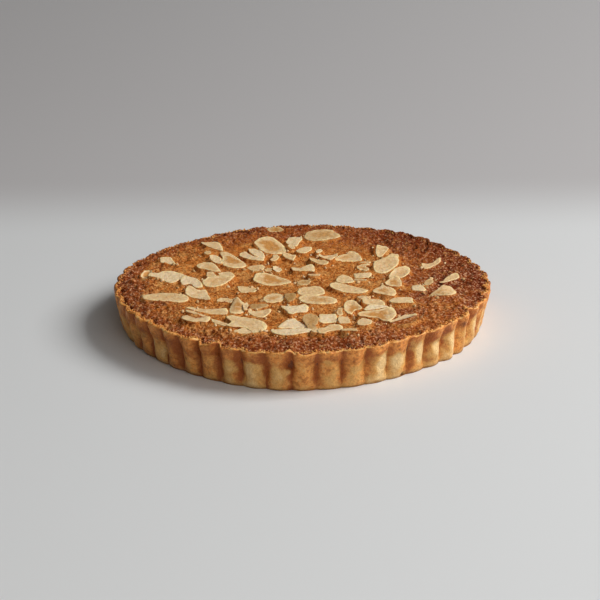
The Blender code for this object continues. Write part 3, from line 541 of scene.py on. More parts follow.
def almond_material():
    """Flaked almond: cream, with a tan heart and a pale edge painted as a highlight; some slices are paler or
    more toasted.
    """
    n = Nodes("almond", (0.775, 0.538, 0.280))
    pale = (0.92, 0.765, 0.525)
    tan = (0.58, 0.270, 0.075)
    toast = (0.42, 0.225, 0.070)
    edge = (0.95, 0.74, 0.385)
    side = (0.92, 0.60, 0.26)
    reach = n.plus(n.mark("reach"), n.wobble(n.noise(6.0, 2.0), 1.1))
    heart = n.times(n.step(reach, 0.90, 0.20), n.times(n.mark("heart"), 1.15))
    heart = n.plus(heart, n.wobble(n.noise(4.0, 3.0), 0.9))
    n.tint(heart, 0.0, 1.0, 1.0, tan)
    n.tint(n.mark("tone"), 0.0, -1.0, 0.85, pale)
    streak = n.noise(2.2, 3.0, 0.6, (0.55, 1.0, 1.0))
    n.tint(streak, 0.48, 0.70, 0.30, tan)
    n.tint(streak, 0.46, 0.30, 0.45, pale)
    # Paler edge of each slice: a painted highlight along the edge
    rim = n.times(n.step(n.mark("reach"), 0.76, 0.93), n.step(n.noise(5.0, 2.0), 0.40, 0.58, 0.20, 0.95))
    n.colour = n.blend(rim, n.colour, edge)
    n.tint(n.mark("reach"), 0.985, 1.010, 0.8, side)
    n.tint(n.mark("tone"), 0.1, 1.0, 0.85, toast)
    n.tint(n.noise(1.7, 2.0), 0.60, 0.72, 0.30, tan)
    normal = n.bump(n.noise(2.4, 2.0, 0.5), 0.7)
    n.shader.inputs["Subsurface Weight"].default_value = 0.18
    n.shader.inputs["Subsurface Radius"].default_value = (0.8 * MM, 0.5 * MM, 0.25 * MM)
    n.shader.inputs["Subsurface Scale"].default_value = 1.0
    return n.finish(0.45, 0.34, normal)


def floor_material():
    """Plain pale floor that turns grey far behind the tart, as a studio sweep does."""
    n = Nodes("floor", (0.685, 0.700, 0.712))
    split = n.add("ShaderNodeSeparateXYZ")
    n.feed(split.inputs["Vector"], n.place)
    n.tint(split.outputs["Y"], 0.16, 0.30, 1.0, (0.50, 0.49, 0.497))
    n.tint(split.outputs["Y"], 0.4, 1.8, 1.0, (0.66, 0.66, 0.67))
    return n.finish(0.55, 0.25)


# The pastry case

# Marks of the wall: flute and share across it, height, size across, size up, depth, paleness, darkness (mm);
# the darkness is partly painted shade in dents and partly dark specks
WALL_MARKS = (
    (-0.06, 14.5, 1.5, 1.4, 1.3, -0.3, 0.45),
    (-0.12, 11.5, 1.6, 1, -0.5, 0.7, 0),
    (-0.68, 18, 1, 1, 0.2, 0.8, 0),
    (-0.45, 12.5, 3.5, 6, 0.3, 0.6, 0),
    (1.62, 19.3, 1.1, 1, 0.9, -0.4, 0.45),
    (1.35, 18.6, 2, 1.5, 0.4, 0.9, 0),
    (1.72, 15, 0.5, 0.5, 0.4, 0, 0.4),
    (2.15, 17, 0.5, 0.5, 0.5, 0, 0.45),
    (2.42, 17, 0.5, 0.5, 0.5, 0, 0.45),
    (2.55, 20.5, 0.6, 0.6, 0.4, 0, 0.5),
    (4.8, 0.8, 1.2, 1.6, 1.6, 0, 0.5),
    (3.68, 10.5, 2.8, 6, 0.6, 0.9, 0),
    (3.3, 9, 2.4, 3, -0.5, -0.4, 0),
    (4.38, 12.5, 2.4, 4.5, 1, 1.1, 0),
    (4.72, 16, 1, 1.5, 0.8, 0, 0.5),
    (4.55, 5.5, 3.2, 3, -0.5, -0.3, 0),
    (5.56, 15.5, 2.6, 6, 0.8, 1.2, 0),
    (5.2, 9.5, 2.4, 3, -0.6, -0.5, 0),
    (6.45, 13.5, 2, 2.2, 0.9, 1, 0),
    (6.66, 15.8, 0.8, 1, 0.6, 0, 0.6),
    (7.62, 13, 1.8, 6, 0.6, 0.9, 0),
    (8.35, 18.5, 1.7, 2, 0.4, -0.5, 0.8),
    (8.85, 12, 1.8, 6, 0.5, 0.8, 0),
    (9.5, 14, 2.6, 5, 0.5, 0.7, 0),
    (10.6, 12, 2.4, 5, 0.5, 0.6, 0),
    (-4.7, 15.5, 0.8, 0.9, 0.5, 0, 0.6),
    (-4.62, 10.5, 0.9, 0.9, 0.5, 0, 0.5),
    (-5.5, 16.5, 2.4, 2.2, 0.8, -0.2, 0.12),
    (-5.85, 13, 2, 3, 0.2, 0.6, 0),
    (-6.4, 15.5, 2, 3, 1.3, -0.2, 0.35),
    (-6.75, 11.5, 1.8, 4, 0.3, 0.55, 0),
    (-6.15, 8, 1.8, 3, 0.4, 0.5, 0),
    (-7.4, 14.5, 2, 3.5, 1, 0.3, 0.25),
    (-8.1, 12, 1.8, 4, 0.5, 0.6, 0),
    (-1.6, 15, 2.4, 3, 0.5, 0.25, 0),
    (1.75, 23, 3.5, 1.5, 0, 0.8, 0),
    (5.1, 19.5, 2.2, 3, 0.3, 0.8, 0),
    (-2.5, 18, 3.5, 3, 0, 0.4, 0),
    (-3.4, 18, 3, 3, 0, 0.3, 0),
    (-2.45, 8.5, 2.6, 3.5, 0.4, 0.15, 0),
)
CASE_SEED = 21
FLUTE_ROUNDNESS = 0.95
# Depth of the flutes up the wall, as shares of the wall's height and mm
FLUTE_DEPTHS = ((0.0, 1.2), (0.08, 1.9), (0.30, 3.7), (0.60, 4.6), (0.85, 4.2), (1.0, 3.2))
RIM_WALL = 1.7
# Height of the wall at which the folded lip starts, and how far below the lip the wall is pinched in
LIP_HEIGHT = 18.4
LIP_PINCH = 1.8
# The rim stands higher at the back right: height, turn and spread
BACK_RIDGE = 1.5
BACK_RIDGE_TURN = 2.38
BACK_RIDGE_SPREAD = 0.17
# Azimuths where the back of the tart starts and is reached, as seen from the photograph's camera
BACK_START, BACK_FULL = 1.35, 1.8
# Dark caramel at the far right: turn and width
CARAMEL_TURN, CARAMEL_WIDTH = 1.50, 0.12
# Places where the filling runs over the rim: turn, spread, share
OVERFLOWS = ((0.60, 0.16, 0.7), (1.10, 0.22, 1.0))
# Peaks and dips of the rim: turn, height, width (radians and mm)
RIM_TEETH = (
    (-0.615, 1.1, 0.022), (-0.553, -2, 0.022), (-0.472, 1.7, 0.020), (-0.425, -0.8, 0.020),
    (-0.075, 1.1, 0.020), (0.74, -0.8, 0.03), (0.9, 0.7, 0.02), (1.0, -1, 0.03), (1.12, 0.9, 0.03),
    (1.24, -0.8, 0.03), (1.4, 1, 0.03))
# Grooves that cut deep into the rim: place in flutes, extra share of the rim's depth
RIM_CUSPS = (
    (-4, 0.9), (-3, 1), (-7, 0.3), (3, 0.3), (4, 0.2), (6, 0.3), (8, 0.4), (9, 0.3))
# Rows of the rim from outside to inside: share of the way, drop (mm), share of filling's colour
RIM_ROWS = ((0.10, 0.40, 0.0), (0.30, 0.08, 0.0), (0.55, 0.0, 0.0), (0.80, 0.12, 0.15), (1.0, 0.5, 0.6))
# Width of a flute along the wall, and the radius at which noise round the tart is read (mm)
FLUTE_WIDTH = 14.6
NOISE_RADIUS = 110.0


def within_half_turn(turn):
    """Azimuths counted from minus half a turn to half a turn."""
    return np.where(turn > math.pi, turn - math.tau, turn)


def behind_share(turn):
    """0 at the front and 1 at the back of the tart."""
    return smooth(BACK_START, BACK_FULL, np.abs(turn))


def rim_teeth(turn):
    """Small peaks and dips of the rim."""
    lift = 0.0 * turn
    for place, height, width in RIM_TEETH:
        lift = lift + height * hump(turn, place, width)
    return lift


def fluted_edge(turn):
    """Flutes: number, share across, roundness, how deep the groove is and how far the flute swells."""
    rng = np.random.default_rng(CASE_SEED)
    depth = rng.uniform(0.85, 1.12, FLUTE_COUNT)
    swell = rng.uniform(-0.30, 0.30, FLUTE_COUNT)
    lean = rng.uniform(-0.12, 0.12, FLUTE_COUNT)
    along = flutes_along(turn)
    number = np.floor(along + 1e-6).astype(int) % FLUTE_COUNT
    share = np.clip(along - np.floor(along + 1e-6), 0.0, 1.0)
    bent = share + lean[number] * share * (1.0 - share) * 2.0
    crest = np.sin(math.pi * np.clip(bent, 0.0, 1.0)) ** FLUTE_ROUNDNESS
    out_shift = swell[number] * np.sin(math.pi * share) ** 2
    return number, share, crest, depth[number] * (1.0 - crest), out_shift


def cusp_share(turn):
    """Share of the flutes' depth that is left at the rim, which crumb and filling blur in places."""
    along = flutes_along(turn)
    share = 0.58 + 0.42 * smooth(6.0, 10.0, along) + 0.17 * smooth(-6.0, -10.0, along)
    for place, extra in RIM_CUSPS:
        share = share + extra * hump(along, place, 0.32)
    return share


def rim_inside(turn):
    """Radius at which the filling meets the rim's crumb, following the flutes."""
    _, _, _, depth, out_shift = fluted_edge(turn)
    outer = RIM_RADIUS - FLUTE_DEPTHS[-1][1] * cusp_share(turn) * depth + out_shift
    spots = ring_points(NOISE_RADIUS, turn, 4.0)
    wall = RIM_WALL + 0.5 * field(spots, 7.0, 1.0) + 0.35 * field(spots, 2.5, 6.0)
    wall += 1.1 * bell(turn, -0.95, 0.30)
    return outer - wall


def case_piece():
    """The fluted case with uneven flutes, dents, a crumbly rim and its floor."""
    columns = FLUTE_COUNT * CASE_COLUMNS_PER_FLUTE
    turn = within_half_turn(FLUTE_TURN + math.tau * np.arange(columns) / columns)
    number, share, crest, depth, out_shift = fluted_edge(turn)
    along = flutes_along(turn)
    rng = np.random.default_rng(CASE_SEED + 1)
    around = ring_points(NOISE_RADIUS, turn, 0.0)
    rim = rim_height(turn) + 0.45 * field(around, 6.0, 3.0) + 0.40 * field(around, 1.6, 9.0)
    rim += rim_teeth(turn) - bell(turn, 0.012, 0.030)
    rim += BACK_RIDGE * bell(turn, BACK_RIDGE_TURN, BACK_RIDGE_SPREAD)
    inner = rim_inside(turn)
    cusp = cusp_share(turn)
    top = RIM_RADIUS - FLUTE_DEPTHS[-1][1] * cusp * depth + out_shift
    low = BASE_RADIUS - FLUTE_DEPTHS[0][1] * depth + 0.6 * out_shift
    depths = np.array(FLUTE_DEPTHS)
    scale = plan_scale(turn)
    flute_toast = rng.uniform(-0.15, 0.30, FLUTE_COUNT)[number]
    flute_pale = rng.uniform(-0.45, 0.15, FLUTE_COUNT)[number]
    lip_low = LIP_HEIGHT + rng.uniform(-2.2, 1.6, FLUTE_COUNT)[number] + 1.4 * field(around, 9.0, 13.0)
    lip_low = lip_low + 0.9 * field(around, 3.5, 15.0)
    lip_out = rng.uniform(0.0, 0.40, FLUTE_COUNT)[number]
    # The base stands out at the front right; the wall is sunlit there, which is painted into its colour;
    # browner behind, dark at the far right
    base_swell = 1.1 * smooth(-4.0, 0.0, along) * smooth(12.0, 9.0, along)
    base_swell = base_swell + 1.7 * hump(along, 7.5, 1.2) * crest
    sunny = smooth(1.5, 4.0, along) * smooth(16.0, 12.0, along)
    behind = behind_share(turn)
    caramel = hump(turn, CARAMEL_TURN, CARAMEL_WIDTH)
    rows = []
    marks = {"toast": [], "pale": [], "burn_and_shade": [], "fill": [], "lip": []}

    def add_row(radius, height, *values):
        wide = np.minimum(radius, RIM_RADIUS - 0.05) * scale
        rows.append(ring_points(wide, turn, height))
        for label, value in zip(marks, values):
            marks[label].append(np.broadcast_to(value, turn.shape))

    add_row(low + base_swell - 2.2, 0.0, 0.2, 0.2, 0.0, 0.0, 0.0)
    # Outer row under the base: its darkness of 0.6 is painted contact shadow
    add_row(low + base_swell - 0.7, 0.0, 0.2, 0.2, 0.6, 0.0, 0.0)
    for step in range(WALL_ROWS):
        up = step / (WALL_ROWS - 1.0)
        height = 0.35 + (rim - 1.15) * up
        flute_depth = np.interp(up, depths[:, 0], depths[:, 1])
        flute_depth = flute_depth * (1.0 + (cusp - 1.0) * smooth(0.35, 1.0, up))
        radius = BASE_RADIUS + (RIM_RADIUS - BASE_RADIUS) * up
        radius = radius + (0.6 + 0.4 * up) * out_shift - flute_depth * depth
        radius += 0.35 * math.sin(math.pi * up)
        radius += base_swell * (1.0 - smooth(0.0, 0.75, up)) - 0.8 * hump(up, 0.0, 0.055)
        over_lip = height - lip_low
        lip = smooth(-3.2, 2.2, over_lip)
        radius += lip_out * (lip - 0.8 * hump(over_lip, -LIP_PINCH, 1.6))
        spots = ring_points(NOISE_RADIUS, turn, height)
        radius += 0.75 * field(spots, 8.0, 5.0) + 0.30 * field(spots, 3.2, 11.0)
        radius += 0.14 * field(spots, 1.3, 16.0)
        toast = 0.08 + flute_toast + 0.22 * hump(over_lip, 0.5, 2.2)
        # Browner grooves: painted shade, weaker where the wall is sunlit
        toast += (0.95 - 0.75 * sunny) * (1.0 - crest) ** 1.3
        # Left side of each sunlit flute, turned from the light: painted shade
        toast += 0.30 * sunny * smooth(0.50, 0.15, share) * smooth(0.0, 0.10, share)
        middle = hump(up - 0.45, 0.25 * (share - 0.5), 0.30)
        # Paler patches: random by flute and low on the wall; the paler middle of the crests is partly pale
        # dough, partly a painted highlight
        pale = -0.08 + flute_pale + 0.55 * smooth(0.34, 0.0, up) + 0.5 * middle * crest
        # Right side of each sunlit flute, turned to the light: painted light
        pale += 0.55 * sunny * middle * smooth(0.25, 0.75, share)
        # Crests at the front left: painted highlight
        pale += 0.35 * hump(along, -2.0, 2.2) * crest * smooth(0.9, 0.4, up)
        pale -= 0.5 * lip
        # Thin dark line at the foot of the wall: painted contact shadow
        burn_and_shade = np.full(columns, 0.55 * hump(up, 0.0, 0.025))
        for place, mark_height, size_across, size_up, deep, whiten, darken in WALL_MARKS:
            aside = (along - place + FLUTE_COUNT / 2) % FLUTE_COUNT - FLUTE_COUNT / 2
            aside = aside * FLUTE_WIDTH / size_across
            rise = (height - mark_height) / size_up
            press = np.exp(-0.5 * (aside ** 2 + rise ** 2))
            radius -= deep * press
            pale += whiten * press
            # Darkness of a mark: painted shade in a dent, and dark specks
            burn_and_shade += darken * press ** 2
        add_row(radius, height, toast, pale, burn_and_shade, 0.0, lip)
    for push, drop, filled in RIM_ROWS:
        radius = top + push * (inner - top)
        height = rim - drop
        spots = ring_points(radius, turn, height)
        crumbs = 0.32 * field(spots, 1.9, 7.0) + 0.20 * field(spots, 4.0, 2.0)
        toast = 0.15 - push * 0.3 + 0.9 * behind + 0.7 * caramel
        # Paler towards the rim's outer edge: partly golden crumb, partly a painted highlight along the crest
        pale = 0.40 - 0.2 * push - 0.9 * behind + 0.9 * field(spots, 3.0, 33.0)
        fill = np.maximum(filled * (1.0 - 0.8 * caramel), 0.55 * behind)
        add_row(radius + 0.6 * crumbs, height + crumbs, toast, pale, 0.0, fill, 0.7)
    # The inner wall below the rim is darkened by half: painted shade in the crevice against the filling
    add_row(inner - 0.1, rim - 2.2, 0.9, -1.0, 0.5 * (1.0 - caramel), 1.0 - 0.6 * caramel, 0.0)
    add_row(inner - 0.6, rim - 6.0, 0.9, -1.0, 0.5, 1.0, 0.0)
    add_row(INNER_BASE_RADIUS, FLOOR_THICKNESS, 0.5, 0.0, 0.0, 0.0, 0.0)
    faces = band_faces(len(rows), columns)
    last = (len(rows) - 1) * columns
    faces.append(tuple(range(columns - 1, -1, -1)))
    faces.append(tuple(range(last, last + columns)))
    values = {label: np.concatenate(value) for label, value in marks.items()}
    material = crust_material()
    piece = mesh_piece("crust_case", np.concatenate(rows), faces, material, values)
    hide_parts("pastry_case")


# The almonds

def even_outline(ring, count):
    """The outline with its corners taken off, as evenly spaced points."""
    for cut in (0.12, 0.25):
        after = np.roll(ring, -1, 0)
        ring = np.stack([(1.0 - cut) * ring + cut * after, cut * ring + (1.0 - cut) * after], 1)
        ring = ring.reshape(-1, 2)
    closed = np.vstack([ring, ring[:1]])
    run = np.concatenate([[0.0], np.cumsum(np.linalg.norm(np.diff(closed, axis=0), axis=1))])
    at = np.linspace(0.0, run[-1], count, endpoint=False)
    return np.stack([np.interp(at, run, closed[:, k]) for k in (0, 1)], -1)


def place_slices():
    """Every slice set down on the filling, where it covers what its outline covers in the photograph."""
    rng = np.random.default_rng(ALMOND_SEED)
    placed = []
    for turn, tilt, heart, tone, cup, bend, *outline in SLICES:
        seen = 0.5 * np.array(outline).reshape(-1, 2)
        middle = 0.5 * (seen.min(0) + seen.max(0))
        slope = math.tan(math.radians(tilt))
        sight = (-CAMERA_PLACE[1] + middle[1]) / (CAMERA_PLACE[2] - LEVEL)
        ring = seen - middle
        ring[:, 1] /= 1.0 + slope * sight
        if np.cross(ring, np.roll(ring, -1, 0)).sum() < 0.0:
            ring = ring[::-1]
        depth = 0.5 * np.ptp(ring[:, 1])
        x, y = middle
        for _ in range(3):
            ground = float(ground_height(np.array([x]), np.array([y]))[0])
            lift = SLICE_RISE + depth * slope
            for other in placed:
                near = math.hypot(other["x"] - x, other["y"] - y)
                if near < 0.8 * (other["width"] + 2.0 * depth):
                    lift = max(lift, min(other["lift"] + PILE_LIFT, MOST_LIFT))
            y = middle[1] - (ground + lift - LEVEL) * sight
        c = math.cos(math.radians(turn))
        s = math.sin(math.radians(turn))
        along = ring @ np.array([c, s])
        across = ring @ np.array([-s, c])
        item = dict(x=x, y=y, length=np.ptp(along), width=np.ptp(across), c=c, s=s, tilt=tilt, ring=ring,
                    lift=lift, top=ground + lift, heart=heart, tone=tone, cup=cup, bend=bend)
        item["wave"] = rng.uniform(-0.45, 0.45, 3)
        peak = slice_top(item, ring[:, 0], ring[:, 1]).max()
        item["top"] -= max(0.0, peak - HIGHEST)
        placed.append(item)
    return placed


def slice_top(item, dx, dy):
    """Height of a slice's warped top at offsets from its middle."""
    c, s = item["c"], item["s"]
    u = (dx * c + dy * s) / (0.5 * item["length"])
    v = (dy * c - dx * s) / (0.5 * item["width"])
    wave = item["wave"]
    swing = wave[0] * u * v + wave[1] * (u * u - 0.3) + wave[2] * np.sin(2.2 * u + 1.0)
    rise = item["cup"] * (v * v - 0.4) + item["bend"] * (u * u - 0.4)
    ripple = np.column_stack([dx, dy, np.full(len(dx), item["x"] - 3.0 * item["y"])])
    rise += max(item["length"], item["width"]) / 20.0 * swing + 0.16 * field(ripple, 3.2, 2.0)
    return item["top"] + dy * math.tan(math.radians(item["tilt"])) + rise


# Rings of a slice over its edge to the middle of its top: share of the outline, height in shares of thickness
SLICE_RINGS = (
    (1.0, -0.70), (1.012, -0.40), (0.992, -0.12), (0.955, 0.0), (0.80, 0.0), (0.56, 0.0), (0.32, 0.0),
    (0.12, 0.0))
# Up to this length (mm) a slice has half the points round its outline
SMALL_SLICE = 7.0
ALMOND_SEED = 5


def slice_mesh(item, rng):
    """Points, faces and reach of one slice: a thin plate with rounded edges and a slight warp."""
    count = SLICE_RIM_POINTS
    if max(item["length"], item["width"]) <= SMALL_SLICE:
        count = SLICE_RIM_POINTS // 2
    thick = rng.uniform(0.65, 0.9)
    ring = even_outline(item["ring"], count)
    rough = np.column_stack([ring, np.full(count, item["x"] + 7.0 * item["y"])])
    nudge = 0.34 * field(rough, 2.6, 1.0) + 0.30 * field(rough, 1.1, 4.0)
    ring = ring * (1.0 + nudge / np.maximum(np.hypot(ring[:, 0], ring[:, 1]), 2.0))[:, None]
    points = []
    reach = []

    def add(spots, height, share):
        points.append(np.column_stack([spots, np.full(len(spots), height * thick)]))
        reach.append(np.full(len(spots), share))

    for grow, height in SLICE_RINGS:
        add(ring * grow, height, min(grow, 1.0))
    add(np.zeros((1, 2)), 0.0, 0.0)
    for grow in (0.93, 0.45):
        add(ring * grow, -1.0, 0.9)
    add(np.zeros((1, 2)), -1.0, 0.0)
    points = np.concatenate(points)
    points[:, 2] += slice_top(item, points[:, 0], points[:, 1])
    rows = len(SLICE_RINGS)
    faces = band_faces(rows, count)
    inmost = (rows - 1) * count
    top = rows * count
    below = top + 1
    centre = below + 2 * count
    for here in range(count):
        after = (here + 1) % count
        faces.append((inmost + here, inmost + after, top))
        faces.append((after, here, below + here, below + after))
        faces.append((below + after, below + here, below + count + here, below + count + after))
        faces.append((below + count + after, below + count + here, centre))
    return points + (item["x"], item["y"], 0.0), faces, np.concatenate(reach)


def almonds_piece(placed):
    """All the slices as one mesh."""
    rng = np.random.default_rng(ALMOND_SEED)
    points = []
    faces = []
    marks = {"reach": [], "heart": [], "tone": []}
    start = 0
    for item in placed:
        spots, polygons, reach = slice_mesh(item, rng)
        points.append(spots)
        faces += [tuple(corner + start for corner in polygon) for polygon in polygons]
        marks["reach"].append(reach)
        marks["heart"].append(np.full(len(spots), item["heart"]))
        marks["tone"].append(np.full(len(spots), item["tone"]))
        start += len(spots)
    values = {label: np.concatenate(value) for label, value in marks.items()}
    material = almond_material()
    piece = mesh_piece("almonds", np.concatenate(points), faces, material, values)
    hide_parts("frangipane")


# The filling

# Depth below a slice's top to which the filling rises, the depth that it stays below, and the most rise (mm)
BED_GAP = 0.34
CAP_GAP = 0.28
BED_RISE = 2.6
# Sizes of the filling's clumps, lumps and grains (mm)
CLUMP_SIZE = 4.2
LUMP_SIZE = 2.6
GRAIN_SIZE = 1.55


def disc(rings):
    """Unit disc of even triangles: share of the radius, turn, and faces."""
    share = [0.0]
    turn = [0.0]
    for ring in range(1, rings + 1):
        share += [ring / rings] * (6 * ring)
        turn += [math.tau * k / (6 * ring) for k in range(6 * ring)]
    faces = []
    first = [0] + [1 + 3 * ring * (ring - 1) for ring in range(1, rings + 1)]
    for ring in range(1, rings + 1):
        outer = first[ring]
        count = 6 * ring
        inner = first[ring - 1]
        inner_count = max(1, 6 * (ring - 1))
        for side in range(6):
            for k in range(ring):
                here = outer + (side * ring + k) % count
                after = outer + (side * ring + k + 1) % count
                back = inner + (side * (ring - 1) + k) % inner_count
                faces.append((here, after, back))
                if k < ring - 1:
                    back_after = inner + (side * (ring - 1) + k + 1) % inner_count
                    faces.append((back, after, back_after))
    return np.array(share), np.array(turn), faces, first[rings]


def outside(item, dx, dy):
    """Distance in mm from a slice's outline, measured from its middle; below 0 under the slice."""
    ring = item["ring"]
    angle = np.arctan2(ring[:, 1], ring[:, 0])
    order = np.argsort(angle)
    radius = np.hypot(ring[:, 0], ring[:, 1])[order]
    edge = np.interp(np.arctan2(dy, dx), angle[order], radius, period=math.tau)
    return np.hypot(dx, dy) - edge


def bed_slices(x, y, z, bake, placed):
    """The filling raised to the slices' undersides and kept below their tops."""
    caps = []
    for item in placed:
        reach = 0.5 * math.hypot(*np.ptp(item["ring"], axis=0)) + 3.0
        near = np.flatnonzero((np.abs(x - item["x"]) < reach) & (np.abs(y - item["y"]) < reach))
        dx = x[near] - item["x"]
        dy = y[near] - item["y"]
        beyond = outside(item, dx, dy)
        shrink = np.clip(1.0 - np.maximum(beyond, 0.0) / np.maximum(np.hypot(dx, dy), 0.1), 0.0, 1.0)
        plane = slice_top(item, dx * shrink, dy * shrink)
        bed = smooth(1.5, 0.0, beyond)
        z[near] += bed * np.clip(plane - BED_GAP - z[near], 0.0, BED_RISE)
        # A paler ring just outside each slice: a painted glow that offsets the slice's contact shadow
        bake[near] -= 0.45 * hump(beyond, 0.5, 1.1)
        caps.append((near, plane - CAP_GAP + 4.0 * np.maximum(beyond + 0.1, 0.0)))
    for near, cap in caps:
        z[near] = np.minimum(z[near], cap)
    return z, bake


def sponge_piece(placed):
    """The filling with its baked, granular top, bedded up to the almonds."""
    share, turn, faces, border = disc(SPONGE_RINGS)
    turn = within_half_turn(turn)
    over_rim = sum(part * bell(turn, place, spread) for place, spread, part in OVERFLOWS)
    along_rim = ring_points(NOISE_RADIUS, turn, 50.0)
    runs = 0.5 + 1.6 * field(along_rim, 6.0, 12.0) + 0.9 * field(along_rim, 2.2, 19.0)
    spill = over_rim * np.clip(runs, 0.0, 1.3)
    edge = rim_inside(turn) + 0.3 + 1.5 * spill
    radius = share * (1.0 + 0.10 * (1.0 - share * share))
    radius = radius * ((1.0 - radius ** 6) * INNER_RIM_RADIUS + radius ** 6 * edge)
    wide = radius * plan_scale(turn)
    x = wide * np.sin(turn)
    y = -wide * np.cos(turn)
    z = ground_height(x, y)
    flat = np.stack([x, y, np.zeros_like(x)], -1)
    # Height near the rim
    outer = smooth(70.0, 96.0, radius)
    near_rim = smooth(97.0, 106.0, radius)
    behind = behind_share(turn)
    ridge = bell(turn, BACK_RIDGE_TURN, BACK_RIDGE_SPREAD)
    z += 1.3 * over_rim * smooth(96.0, 105.0, radius) + (0.5 + 1.3 * spill) * smooth(104.0, 110.0, radius)
    z += 1.3 * behind * smooth(96.0, 107.0, radius) + BACK_RIDGE * ridge * smooth(103.0, 108.0, radius)
    z += (0.45 + 0.75 * outer) * field(flat, 11.0, 27.0)
    # Crevice between the filling and the rim, cut in and darkened with painted shade
    around = ring_points(NOISE_RADIUS, turn, 30.0)
    ragged = 1.5 + 0.6 * field(around, 5.0, 2.0)
    closed = np.clip(over_rim + 0.8 * behind + 0.9 * hump(turn, 1.48, 0.16), 0.0, 1.0)
    crevice = hump(edge - radius, ragged, 1.1) * (1.0 - 0.85 * closed)
    crevice *= 0.75 + 0.5 * field(around, 11.0, 5.0)
    # Clumps, lumps, grains, cracks and holes
    clumps = field(flat, CLUMP_SIZE, 4.0)
    lumps = cells(flat, LUMP_SIZE, 2.0)
    grains = cells(flat, GRAIN_SIZE, 9.0)
    lump = 0.55 - lumps[:, 0]
    grain = 0.55 - grains[:, 0]
    crack = smooth(0.16, 0.0, lumps[:, 1] - lumps[:, 0])
    holes = smooth(0.34, 0.60, field(flat, 5.0, 17.0) + 0.30 * field(flat, 2.0, 21.0))
    relief = (0.35 + 0.35 * outer) * clumps + (0.75 + 0.65 * outer) * lump + (0.60 + 0.50 * outer) * grain
    relief -= 0.15 * crack + (0.55 + 0.65 * outer) * holes
    z += relief * (1.0 - 0.15 * near_rim) - 2.0 * crevice
    # Browning
    bake = -0.04 + 0.46 * outer + 0.30 * near_rim
    bake += 0.35 * np.exp(-0.5 * (((x - 88.0) / 11.0) ** 2 + ((y - 10.0) / 24.0) ** 2))
    bake -= 0.40 * np.exp(-0.5 * (((x - 76.0) / 12.0) ** 2 + ((y + 72.0) / 9.0) ** 2))
    bake += 0.22 * smooth(30.0, 75.0, x) * smooth(-60.0, -20.0, y)
    bake -= 0.20 * smooth(-35.0, -75.0, x) * (1.0 - near_rim)
    bake += 0.30 * smooth(35.0, 95.0, y + 0.4 * x)
    for dark_x, dark_y, wide_x, wide_y, more in BAKE_PATCHES:
        bake += more * np.exp(-(((x - dark_x) / wide_x) ** 2 + ((y - dark_y) / wide_y) ** 2))
    # Painted shade in holes, cracks and the crevice
    pit_shade = 0.55 * holes * (0.4 + 0.6 * outer) + 0.30 * crack * (0.3 + 0.7 * outer) + 0.9 * crevice
    for hole_x, hole_y, size, deep in PITS:
        hole = hump(np.hypot(x - hole_x, y - hole_y), -0.5 * clumps, size)
        z -= deep * hole
        pit_shade += 0.7 * hole
    z, bake = bed_slices(x, y, z, bake, placed)
    height = np.clip(0.5 + 0.9 * (lump * 0.6 + grain * 0.8), 0.0, 1.0)
    # Sides and underside inside the case
    count = 6 * SPONGE_RINGS
    total = len(x)
    rim_turn = turn[border:border + count]
    low_radius = (INNER_BASE_RADIUS - 0.3) * plan_scale(rim_turn)
    points = [np.stack([x, y, z], -1), ring_points(low_radius, rim_turn, FLOOR_THICKNESS + 0.3)]
    for k in range(count):
        after = (k + 1) % count
        faces.append((border + after, border + k, total + k, total + after))
    faces.append(tuple(range(total + count - 1, total - 1, -1)))
    marks = {"bake": np.append(bake, np.full(count, 0.5)), "grain": np.append(height, np.full(count, 0.5)),
             "pit_shade": np.append(np.clip(pit_shade, 0.0, 1.0), np.zeros(count))}
    material = sponge_material()
    piece = mesh_piece("frangipane_top", np.concatenate(points), faces, material, marks)
    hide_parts("frangipane")


# Crumbs of pastry along the rim and crumbs of almond on the filling


RIM_CRUMBS = 1300
CRUMBS_PER_SLICE = 5
CRUMB_SEED = 77


def crumbs_piece(name, spots, sizes, material, marks, seed):
    """Small irregular lumps joined in one mesh: a point above, a point below and two rings of six between."""
    rng = np.random.default_rng(seed)
    angles = math.tau * np.arange(6) / 6.0
    unit = [(0.0, 0.0, 1.0)]
    unit += [(math.cos(a) * 0.8, math.sin(a) * 0.8, 0.45) for a in angles]
    unit += [(math.cos(a + 0.5) * 0.85, math.sin(a + 0.5) * 0.85, -0.35) for a in angles]
    unit.append((0.0, 0.0, -0.9))
    corners = len(unit)
    shape = []
    for k in range(6):
        after = (k + 1) % 6
        shape += [(0, 1 + k, 1 + after), (1 + k, 7 + k, 1 + after)]
        shape += [(7 + k, 7 + after, 1 + after), (7 + after, 7 + k, 13)]
    points = []
    faces = []
    for number, (spot, size) in enumerate(zip(spots, sizes)):
        lump = np.array(unit) * rng.uniform(0.65, 1.25, (corners, 1)) * size * rng.uniform(0.7, 1.2, 3)
        points.append(lump + spot)
        faces += [tuple(corners * number + corner for corner in polygon) for polygon in shape]
    values = {label: np.repeat(np.broadcast_to(value, len(spots)), corners) for label, value in marks.items()}
    mesh_piece(name, np.concatenate(points), faces, material, values)


